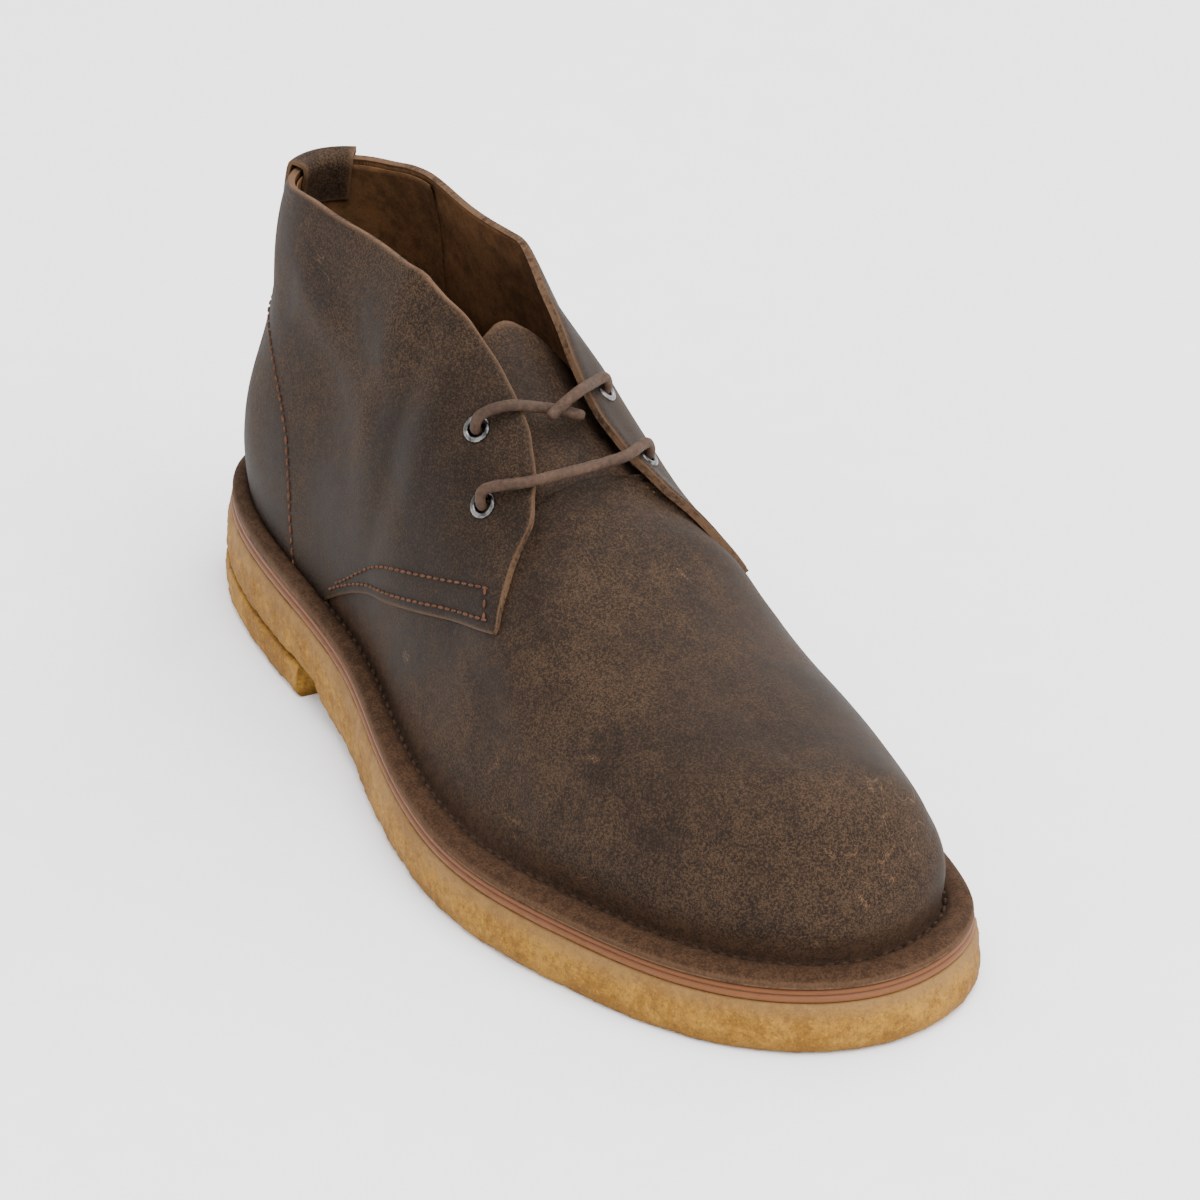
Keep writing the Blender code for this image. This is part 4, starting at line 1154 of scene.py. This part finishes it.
class BOOT_OT_vamp(bpy.types.Operator):
    """Vamp with its flange, and the backing behind the quarters"""

    bl_idname = "boot.vamp"
    bl_label = "Vamp and flange"

    def execute(self, context):
        look = context.scene.boot_leather
        run = np.linspace(0, 1, SIDE_COLUMNS + 1)
        halves = [vamp_side(-1, run), vamp_side(1, run[-2:0:-1])]
        sheet = {key: np.concatenate([half[key] for half in halves]) for key in halves[0]}
        rows, count = sheet["grid"].shape[:2]
        points = sheet["grid"].reshape(-1, 3)
        sink = sheet["sink"].ravel()
        # The seam layer marks the painted shade in the flange seam's groove.
        layers = {"edge": sheet["edge"].ravel(), "seam": near_seam(points, seam_paths(), "heavy", 1.5),
                  "flange": sheet["flange"].ravel()}
        made = shell("vamp", points, grid_quads(rows, count, closed=True), -sink,
                     sheet["wall"].ravel() + sink, leathers(look, "vamp"), layers,
                     sheet["seat"].reshape(-1, 3), relief=fold_relief)
        punch(made)
        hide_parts("upper")
        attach(made, "root")
        return {"FINISHED"}


def quarter_lift(points):
    """How far a quarter's front edge stands off the tongue, in mm."""
    share = points[..., 0] / LENGTH
    away = from_ridge(points) - WIDTH * table(FRONT, 1, share)
    run = soft(share, *FRONT_LIFT_FROM) * (1 - soft(share, *FRONT_LIFT_TO))
    return FRONT_LIFT * run * np.exp(-(np.maximum(away, 0) / FRONT_LIFT_REACH) ** 2)


class BOOT_OT_quarters(bpy.types.Operator):
    """Both quarters, lapped over the vamp, with raw edges"""

    bl_idname = "boot.quarters"
    bl_label = "Quarters"

    def execute(self, context):
        look = context.scene.boot_leather
        stations = np.r_[np.linspace(0, 0.02, 8), np.linspace(0.024, 0.5, 130),
                         np.linspace(0.5, 0.5895, 56)[1:]]
        spread = np.r_[0, 0.004, 0.012, np.linspace(0.028, 0.972, QUARTER_ROWS), 0.988, 0.996, 1.0]
        grids = []
        for side, order in ((-1, stations[::-1]), (1, stations[1:])):
            tau = tau_at(side, order)
            low = low_climb(side, tau)
            high = np.maximum(top_climb(side, tau), low + 0.012)
            climb = low[:, None] + (high - low)[:, None] * spread
            rows = skin(side, np.repeat(tau[:, None], len(spread), 1), climb)
            rows[:, 0, 2] -= np.where(low == 0.0, OVERLAP, 0.0)
            grids.append(rows)
        grid = np.concatenate(grids)
        rise = np.linalg.norm(np.diff(grid, axis=1), axis=2)
        zero = np.zeros((len(grid), 1))
        up = np.concatenate([zero, np.cumsum(rise, 1)], 1)
        down = np.concatenate([np.cumsum(rise[:, ::-1], 1)[:, ::-1], zero], 1)
        lapped = (grid[:, :1, 0] > LOWER[0][0] * LENGTH) | (np.abs(up) > 6.0)
        away = np.minimum(np.where(lapped, up, 9.0), down)
        points = grid.reshape(-1, 3)
        round_off = ROUND_OFF * np.exp(-(away / ROUND_REACH)).ravel()
        # Closeness to the stitch lines: it sinks the face a little and paints shade along them.
        seam = near_seam(points, seam_paths(), "fine", 1.1)
        lift = quarter_lift(points)
        # Painted shade: the quarters' face is the vamp's leather at 0.64 of its colour.
        made = shell("quarters", points, grid_quads(len(grid), grid.shape[1]),
                     QUARTER_WALL + lift - round_off - SEAM_SINK * seam, OVERLAP - lift * 0.8,
                     leathers(look, "quarter", tint=0.64),
                     {"edge": np.exp(-(away / 0.5) ** 2).ravel(), "seam": seam}, relief=fold_relief)
        punch(made)
        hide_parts("upper")
        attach(made, "root")
        return {"FINISHED"}


class BOOT_OT_tongue(bpy.types.Operator):
    """Tongue, running on from the vamp under the front edges"""

    bl_idname = "boot.tongue"
    bl_label = "Tongue"

    def execute(self, context):
        look = context.scene.boot_leather
        rows, count = TONGUE_GRID
        share = np.linspace(0, 1, rows) ** 0.85
        station = TONGUE_FROM + (TONGUE_TOP - TONGUE_FROM) * share
        end = np.clip((share - TONGUE_TIP) / (1.003 - TONGUE_TIP), 0, 1)
        half = WIDTH * TONGUE_HALF * np.sqrt(1 - end ** 2) * (1 + TONGUE_FLARE * (1 - share))
        across = np.linspace(-1, 1, count)
        middle = count // 2
        width = np.maximum(half[:, None] * np.abs(across)[None, :], 0.05)
        grid = np.zeros((rows, count, 3))
        _, crown = frames(1, station, width[:, middle])
        rise = (TONGUE_ROOT - station) / (TONGUE_ROOT - TONGUE_TOP)
        lean = crown * TONGUE_LEAN * rise[:, None] ** 2
        for side, part in ((-1, slice(0, middle)), (1, slice(middle, count))):
            point, normal = frames(side, np.repeat(station[:, None], len(across[part]), 1), width[:, part])
            under = VAMP_WALL + TONGUE_CLEAR + 0.03 + 1.0 * soft(station, 0.543, 0.56)[:, None]
            curl = TONGUE_CURL * np.sin(3.0 * share)[:, None] * (width[:, part] / 20.0) ** 2
            grid[:, part] = point - normal * (under + curl)[..., None] - lean[:, None]
        quads = grid_quads(rows, count)
        top = (1 - share)[:, None] * 52.0
        side_edge = (1 - np.abs(across))[None, :] * half[:, None]
        edge = np.exp(-(np.minimum(top, side_edge) / 0.9) ** 2)
        made = shell("tongue_top", grid.reshape(-1, 3), quads, -0.35 * edge.ravel(), TONGUE,
                     leathers(look, "tongue", tint=1.05, rub=0.05),
                     {"edge": edge.ravel()})
        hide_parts("tongue")
        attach(made, "root")
        return {"FINISHED"}


def tab_grid(count, samples):
    """Sheet of the pull tab: columns across it, each from outside over the collar to inside."""
    def miss(point):
        return point[..., 2] - COLLAR_HEIGHT * table(COLLAR, 1, point[..., 0] / LENGTH) + fall

    outside = QUARTER_WALL + CLEAR + TAB_EASE
    inside = -(VAMP_WALL + CLEAR + TAB_EASE)
    crown = (outside + inside) / 2
    radius = (outside - inside) / 2
    turn = np.linspace(0.2, 0.8, samples) * math.pi
    drops = np.linspace(TAB_DROP, TAB_SHOULDER, samples * 2)
    fall = np.r_[drops, np.zeros(samples), drops[::-1]]
    flat = np.zeros(samples * 2)
    out = np.r_[flat + outside, crown + radius * np.cos(turn), flat + inside]
    rise = np.r_[flat, CLEAR + TAB_SHOULDER + radius * TAB_ARCH * np.sin(turn), flat]
    grid = []
    for offset in np.linspace(-1, 1, count) * TAB_WIDTH / 2:
        side = -1 if offset < 0 else 1
        low, high = np.zeros_like(fall), np.full_like(fall, 0.25)
        for _ in range(22):
            tau = (low + high) / 2
            climb = solve(side, tau, miss)
            near = np.abs(skin(side, tau, climb)[..., 1]) < abs(offset)
            low, high = np.where(near, tau, low), np.where(near, high, tau)
        climb = solve(side, tau, miss)
        point = skin(side, tau, climb) + normals_at(side, tau, climb) * out[:, None]
        point[:, 2] += rise
        grid.append(point)
    return np.array(grid)


class BOOT_OT_tab(bpy.types.Operator):
    """Pull tab over the back of the collar and the counter patch inside it"""

    bl_idname = "boot.tab"
    bl_label = "Pull tab and counter patch"

    def execute(self, context):
        look = context.scene.boot_leather
        grid = tab_grid(21, 8)
        rows, count = grid.shape[:2]
        across = 1 - np.abs(np.linspace(-1, 1, rows))[:, None] + np.zeros((1, count))
        ends = np.minimum(np.arange(count), np.arange(count)[::-1])[None, :] * 0.7 + np.zeros((rows, 1))
        edge = np.exp(-(np.minimum(across * TAB_WIDTH / 2, ends) / 0.8) ** 2)
        face, flesh, cut = leathers(look, "tab")
        made = shell("tab", grid.reshape(-1, 3), grid_quads(rows, count), 0.0, TAB_WALL,
                     [flesh, face, cut], {"edge": edge.ravel()}, outward=False)
        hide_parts("pull_tab")
        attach(made, "root")
        sheet = []
        stations = np.linspace(0.0, PATCH_REACH, 30)
        for side, order in ((-1, stations[::-1]), (1, stations[1:])):
            tau = tau_at(side, order)
            low = solve(side, tau, lambda p: p[..., 2] - PATCH_LOW * COLLAR_HEIGHT)
            high = top_climb(side, tau, PATCH_STEP, PATCH_STEP)
            climb = low[:, None] + (high - low)[:, None] * np.linspace(0, 1, PATCH_ROWS)
            sheet.append(skin(side, np.repeat(tau[:, None], PATCH_ROWS, 1), climb))
        sheet = np.concatenate(sheet)
        patch = shell("counter_patch", sheet.reshape(-1, 3), grid_quads(len(sheet), PATCH_ROWS),
                      -(VAMP_WALL + PATCH_OFF), VAMP_WALL + PATCH_WALL, leathers(look, "patch", tint=0.8),
                      relief=fold_relief)
        patch.data.polygons.foreach_set("material_index", np.ones(len(patch.data.polygons), np.int32))
        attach(patch, "root")
        return {"FINISHED"}


def stitch_tree():
    """Node tree that lays one bead for each stitch along a line."""
    tree = bpy.data.node_groups.new("Stitch row", "GeometryNodeTree")
    face = tree.interface
    face.new_socket("Geometry", in_out="INPUT", socket_type="NodeSocketGeometry")
    for label, value in (("Spacing", 0.003), ("Length", 0.0026), ("Thickness", 0.0008)):
        socket = face.new_socket(label, in_out="INPUT", socket_type="NodeSocketFloat")
        socket.default_value = value
    face.new_socket("Thread", in_out="INPUT", socket_type="NodeSocketMaterial")
    face.new_socket("Geometry", in_out="OUTPUT", socket_type="NodeSocketGeometry")

    def node(kind, settings=None, links=None):
        made = tree.nodes.new(kind)
        for key, value in (settings or {}).items():
            setattr(made, key, value)
        for key, value in (links or {}).items():
            if isinstance(value, bpy.types.NodeSocket):
                tree.links.new(value, made.inputs[key])
            else:
                made.inputs[key].default_value = value
        return made

    given = node("NodeGroupInput").outputs
    curve = node("GeometryNodeMeshToCurve", None, {"Mesh": given["Geometry"]})
    even = node("GeometryNodeResampleCurve", {"mode": "LENGTH"},
                {"Curve": curve.outputs[0], "Length": given["Spacing"]})
    up = node("GeometryNodeInputNamedAttribute", {"data_type": "FLOAT_VECTOR"}, {"Name": "up"})
    ahead = node("GeometryNodeInputTangent")
    turn = node("FunctionNodeAxesToRotation", {"primary_axis": "X", "secondary_axis": "Z"},
                {0: ahead.outputs[0], 1: up.outputs[0]})
    half_length = node("ShaderNodeMath", {"operation": "MULTIPLY"}, {0: given["Length"], 1: 0.5})
    half_thick = node("ShaderNodeMath", {"operation": "MULTIPLY"}, {0: given["Thickness"], 1: 0.5})
    size = node("ShaderNodeCombineXYZ", None, {
        0: half_length.outputs[0], 1: half_thick.outputs[0], 2: half_thick.outputs[0]})
    bead = node("GeometryNodeMeshUVSphere", None, {"Segments": 8, "Rings": 6, "Radius": 1.0})
    shaped = node("GeometryNodeTransform", None, {"Geometry": bead.outputs[0], "Scale": size.outputs[0]})
    vary = node("FunctionNodeRandomValue", {"data_type": "FLOAT"}, {"Min": 0.88, "Max": 1.08, "Seed": 7})
    vary_out = [s for s in vary.outputs if s.enabled][0]
    laid = node("GeometryNodeInstanceOnPoints", None, {
        "Points": even.outputs[0], "Instance": shaped.outputs[0], "Rotation": turn.outputs[0],
        "Scale": vary_out})
    real = node("GeometryNodeRealizeInstances", None, {0: laid.outputs[0]})
    painted = node("GeometryNodeSetMaterial", None, {
        "Geometry": real.outputs[0], "Material": given["Thread"]})
    node("NodeGroupOutput", None, {0: painted.outputs[0]})
    return tree


def stitch_rows(name, rows, tree, spacing, length, thickness, paint):
    """One mesh of stitches along rows of points and normals."""
    points, edges, ups = [], [], []
    for path, normal, over in rows:
        start = len(points)
        points += list(path + normal * over)
        ups += list(normal)
        edges += [(start + k, start + k + 1) for k in range(len(path) - 1)]
    mesh = bpy.data.meshes.new(name)
    mesh.from_pydata(place(np.array(points)).tolist(), edges, [])
    layer = mesh.attributes.new("up", "FLOAT_VECTOR", "POINT")
    layer.data.foreach_set("vector", np.array(ups, np.float32).ravel())
    made = added(name, mesh)
    step = made.modifiers.new("Stitches", "NODES")
    step.node_group = tree
    values = {"Spacing": spacing, "Length": length, "Thickness": thickness, "Thread": paint}
    for item in tree.interface.items_tree:
        if item.in_out == "INPUT" and item.name in values:
            step[item.identifier] = values[item.name]
    bake(made)
    made.data.polygons.foreach_set("use_smooth", np.ones(len(made.data.polygons), bool))
    return made


class BOOT_OT_seams(bpy.types.Operator):
    """Stitches of the quarters, counter, flange and pull tab"""

    bl_idname = "boot.seams"
    bl_label = "Seams"

    def execute(self, context):
        look = context.scene.boot_seams
        tree = stitch_tree()
        paths = seam_paths()
        fine = [(p, n, over + 0.06) for kind, p, n, over in paths if kind == "fine"]
        tab = tab_grid(3, 8)
        for height in (3, 11):
            row = tab[:, height]
            line = np.linspace(row[0], row[-1], 8)[1:-1]
            line[:, 0] = np.interp(line[:, 1], row[:, 1], row[:, 0])
            fine.append((line, np.tile([-1.0, 0.0, 0.1], (len(line), 1)), 0.12))
        heavy = [(p, n, over) for kind, p, n, over in paths if kind == "heavy"]
        groups = (("panel_stitches", fine, look.fine_pitch, 0.84, PANEL_THREAD,
                   thread("fine_thread", look.fine)),
                  ("flange_stitches", heavy, look.heavy_pitch, 0.80, FLANGE_THREAD,
                   thread("heavy_thread", look.heavy)))
        for name, rows, pitch, share, thick, paint in groups:
            made = stitch_rows(name, rows, tree, pitch, pitch * share, thick * MM, paint)
            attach(made, "root")
        return {"FINISHED"}


class BOOT_OT_eyelets(bpy.types.Operator):
    """Four rolled ring eyelets"""

    bl_idname = "boot.eyelets"
    bl_label = "Eyelets"

    def execute(self, context):
        steel = dark_steel("eyelet_steel")
        hole, rim = EYELET_HOLE / 2, EYELET_OUTER / 2
        barrel = hole + EYELET_WALL
        seat = QUARTER_WALL + EYELET_SEAT
        middle, half = (hole + rim) / 2, (rim - hole) / 2
        arc = np.linspace(0, math.pi, 12)
        rolled = [(middle + half * math.cos(a), seat + EYELET_ROLL + EYELET_CROWN * math.sin(a))
                  for a in arc]
        profile = [(barrel, -VAMP_WALL), (barrel, seat), (rim, seat)] + rolled + [(hole, -VAMP_WALL)]
        for name, (centre, axis) in eyelet_frames().items():
            made = lathe("ring_" + name, profile, centre, axis, [steel], 44)
            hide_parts(name)
            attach(made, "root")
        return {"FINISHED"}


def lace_knots():
    """Knots of the bar and the two ends, as points in mm."""
    over = QUARTER_WALL + CLEAR + EYELET_RIM + LACE / 2 + LACE_OVER
    (start, far), (stop, near) = EYELETS["lower_outer"], EYELETS["lower_inner"]
    far, near = -far * WIDTH, near * WIDTH
    rows = [(far, start, -LACE_SINK), (far, start, LACE_NECK), (far + LACE_TURN, start, over + LACE_SINK)]
    for share, bow in BAR:
        rows.append((far + (near - far) * share, start + (stop - start) * share + bow, over + LACE_OVER))
    rows += [(near - LACE_TURN, stop, over + LACE_SINK), (near, stop, LACE_NECK), (near, stop, -LACE_SINK)]
    runs = {"lace_bar": rows}
    for name, side, rise in (("lace_end_outer", -1, 0.0), ("lace_end_inner", 1, LACE + CROSSING)):
        station, half = EYELETS[name.replace("lace_end", "upper")]
        half = half * WIDTH
        rows = [(half, station, -LACE_SINK), (half, station, LACE_NECK),
                (half - LACE_TURN, station, over + LACE_SINK),
                (0.6 * half, station + 0.008, over + LACE_SINK),
                (0.27 * half, station + 0.018, over - LACE_DIP + LACE_SINK + rise),
                (0.0, station + 0.024, LACE_REST + rise),
                (-0.28 * half, station + 0.030, LACE_REST + rise * 0.75)]
        runs[name] = [(y * side, s, off) for y, s, off in rows]
    made = {}
    for name, rows in runs.items():
        knots = []
        for y, s, off in rows:
            point, normal = frames(-1 if y < 0 else 1, s, abs(y))
            knots.append(point + normal * off)
        made[name] = knots
    return made


class BOOT_OT_laces(bpy.types.Operator):
    """Lace bar between the lower eyelets and the two ends that cross on the tongue"""

    bl_idname = "boot.laces"
    bl_label = "Lace"

    def execute(self, context):
        look = context.scene.boot_lace
        paint = lace_leather("lace_leather", look)
        radius = look.diameter / MM / 2
        for name, knots in lace_knots().items():
            path = smooth_run(knots, 0.7)
            made = tube(name.replace("lace", "cord"), path, radius, [paint], 20, 0.06)
            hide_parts(name)
            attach(made, "root")
            "taut" if name == "lace_bar" else "loose"
        return {"FINISHED"}


def denser(rows, times):
    """Rows of a table with some more laid evenly between each two."""
    rows = np.array(rows)
    even = np.linspace(0, len(rows) - 1, (len(rows) - 1) * times + 1)
    return [tuple(np.interp(even, np.arange(len(rows)), column)[k] for column in rows.T)
            for k in range(len(even))]


def around(rows, columns=300, stop=None):
    """Loops round the sole plan, one for each row of inset and height function."""
    loops = []
    for inset, height in rows:
        loop = []
        for side in (-1, 1):
            end = 1.0 if stop is None else stop[side]
            tau = end * np.linspace(0, 1, columns + 1)
            x, y = plan(side, tau, inset)
            half = np.stack([x, y, height(x)], 1)
            back = half[:0:-1] if stop else half[-2:0:-1]
            loop.append(half if side < 0 else back)
        loops.append(np.vstack(loop))
    return loops


def stack(name, loops, paints, layers, lumps=0.0, open_end=False):
    """Closed solid through loops, with strips over both ends and lumps pushed along the side."""
    count = len(loops[0])
    loops = [loop.copy() for loop in loops]
    if lumps:
        for r, loop in enumerate(loops[1:-1], 1):
            ahead = np.roll(loop, -1, 0) - np.roll(loop, 1, 0)
            out = np.stack([ahead[:, 1], -ahead[:, 0]], 1)
            out /= np.linalg.norm(out, axis=1)[:, None] + 1e-9
            for k in range(count):
                spot = Vector(loop[k])
                height = sum(share * noise.noise(spot * wave) for wave, share in LUMPS)
                loop[k, :2] += out[k] * height * lumps
    points = np.vstack(loops)
    faces = grid_quads(len(loops), count, ringed=True).tolist()
    pairs = (count - 1) // 2 if open_end else count // 2
    for start in (0, (len(loops) - 1) * count):
        for k in range(pairs):
            face = [start + k, start + k + 1, start + count - k - 1, start + (count - k) % count]
            corners = list(dict.fromkeys(face))
            if len(corners) > 2:
                faces.append(corners)
    return piece(name, points, faces, paints, {k: np.repeat(v, count) for k, v in layers.items()})


class BOOT_OT_midsole(bpy.types.Operator):
    """Leather midsole with its two bands, and the insole's leather"""

    bl_idname = "boot.midsole"
    bl_label = "Midsole and insole"

    def execute(self, context):
        look = context.scene.boot_sole
        rows = [(inset, lambda x, s=share: crepe_top(x) + CLEAR * 0.6 + (MIDSOLE + CLEAR * 0.6) * s)
                for share, inset in MIDSOLE_SIDE]
        band = [share for share, _ in MIDSOLE_SIDE]
        made = stack("midsole_leather", around(rows), [midsole_edge("midsole_edge", look)],
                     {"band": band})
        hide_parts("midsole")
        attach(made, "root")
        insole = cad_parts["insole"]
        insole.data.materials.clear()
        insole.data.materials.append(flesh_leather("insole_leather_face", context.scene.boot_leather))
        return {"FINISHED"}


class BOOT_OT_crepe(bpy.types.Operator):
    """Crepe sole and heel lift"""

    bl_idname = "boot.crepe"
    bl_label = "Crepe sole"

    def execute(self, context):
        look = context.scene.boot_sole
        paint = crepe_rubber("crepe_honey", look)
        side = denser(SHEET_SIDE, 2)
        rows = [(inset, lambda x, s=share: crepe_under(x) + (crepe_top(x) - crepe_under(x)) * s)
                for share, inset in side]
        rise = [share for share, _ in side]
        ground = [1 - soft(share, 0.0, 0.35) for share in rise]
        made = stack("crepe_sole", around(rows, 420), [paint], {"ground": ground, "rise": rise}, look.lumps)
        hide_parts("outsole")
        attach(made, "root")
        stop = {s: tau_at(s, LIFT_REACH) for s in (-1, 1)}
        side = denser(LIFT_SIDE, 2)
        rows = [(inset, lambda x, s=share: (crepe_under(x) - CLEAR * 0.3) * s) for share, inset in side]
        ground = [1 - soft(share, 0.0, 0.5) for share, _ in side]
        made = stack("crepe_heel", around(rows, 140, stop), [paint], {"ground": ground}, look.lumps,
                     open_end=True)
        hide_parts("heel_lift")
        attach(made, "root")
        return {"FINISHED"}


def look_at(made, where, target):
    """Put a lamp or camera at a place, turned to a target."""
    made.location = where
    made.rotation_euler = (Vector(target) - Vector(where)).to_track_quat("-Z", "Y").to_euler()


class BOOT_OT_stage(bpy.types.Operator):
    """Floor, soft light and camera"""

    bl_idname = "boot.stage"
    bl_label = "Stage"

    def execute(self, context):
        look = context.scene.boot_stage
        scene = context.scene
        mesh = bpy.data.meshes.new("floor")
        corners = [(x * FLOOR_HALF, y * FLOOR_HALF, 0) for x, y in ((-1, -1), (1, -1), (1, 1), (-1, 1))]
        mesh.from_pydata(corners, [], [(0, 1, 2, 3)])
        mesh.materials.append(studio_floor("floor_paper", look))
        floor = added("floor", mesh)
        world = bpy.data.worlds.new("studio")
        world.use_nodes = True
        sky = world.node_tree.nodes["Background"]
        sky.inputs["Color"].default_value = (1.0, 1.0, 1.0, 1.0)
        sky.inputs["Strength"].default_value = look.light
        scene.world = world
        for label, where, size, share in LAMPS:
            light = bpy.data.lights.new(label, "AREA")
            light.shape, light.size, light.energy = "SQUARE", size, look.key * share
            look_at(added(label, light), where, LAMP_AIM)
        lens = bpy.data.cameras.new("camera")
        lens.lens, lens.sensor_width = look.lens, SENSOR
        lens.clip_start, lens.clip_end = CLIP
        scene.camera = added("camera", lens)
        look_at(scene.camera, CAMERA_AT, CAMERA_AIM)
        return {"FINISHED"}


class BOOT_PT_panel(bpy.types.Panel):
    """Buttons that build the boot"""

    bl_idname = "BOOT_PT_panel"
    bl_label = "Desert boot"
    bl_space_type = "VIEW_3D"
    bl_region_type = "UI"
    bl_category = "Boot"

    def draw(self, context):
        for step in STEPS:
            self.layout.operator(step.bl_idname)


STEPS = (BOOT_OT_stage, BOOT_OT_vamp, BOOT_OT_quarters, BOOT_OT_tongue, BOOT_OT_tab, BOOT_OT_seams,
         BOOT_OT_eyelets, BOOT_OT_laces, BOOT_OT_midsole, BOOT_OT_crepe)
LOOKS = {"boot_leather": LeatherLook, "boot_seams": SeamLook, "boot_lace": LaceLook,
         "boot_sole": SoleLook, "boot_stage": StageLook}


def register():
    """Register the classes and hang the looks on the scene."""
    for made in (*LOOKS.values(), *STEPS, BOOT_PT_panel):
        bpy.utils.register_class(made)
    for name, look in LOOKS.items():
        setattr(bpy.types.Scene, name, PointerProperty(type=look))


def unregister():
    """Take the looks and classes away."""
    for name in LOOKS:
        delattr(bpy.types.Scene, name)
    for made in reversed((*LOOKS.values(), *STEPS, BOOT_PT_panel)):
        bpy.utils.unregister_class(made)


def main():
    """Build every piece."""
    register()
    for step in STEPS:
        group, name = step.bl_idname.split(".")
        getattr(getattr(bpy.ops, group), name)()


if __name__ == "__main__":
    main()
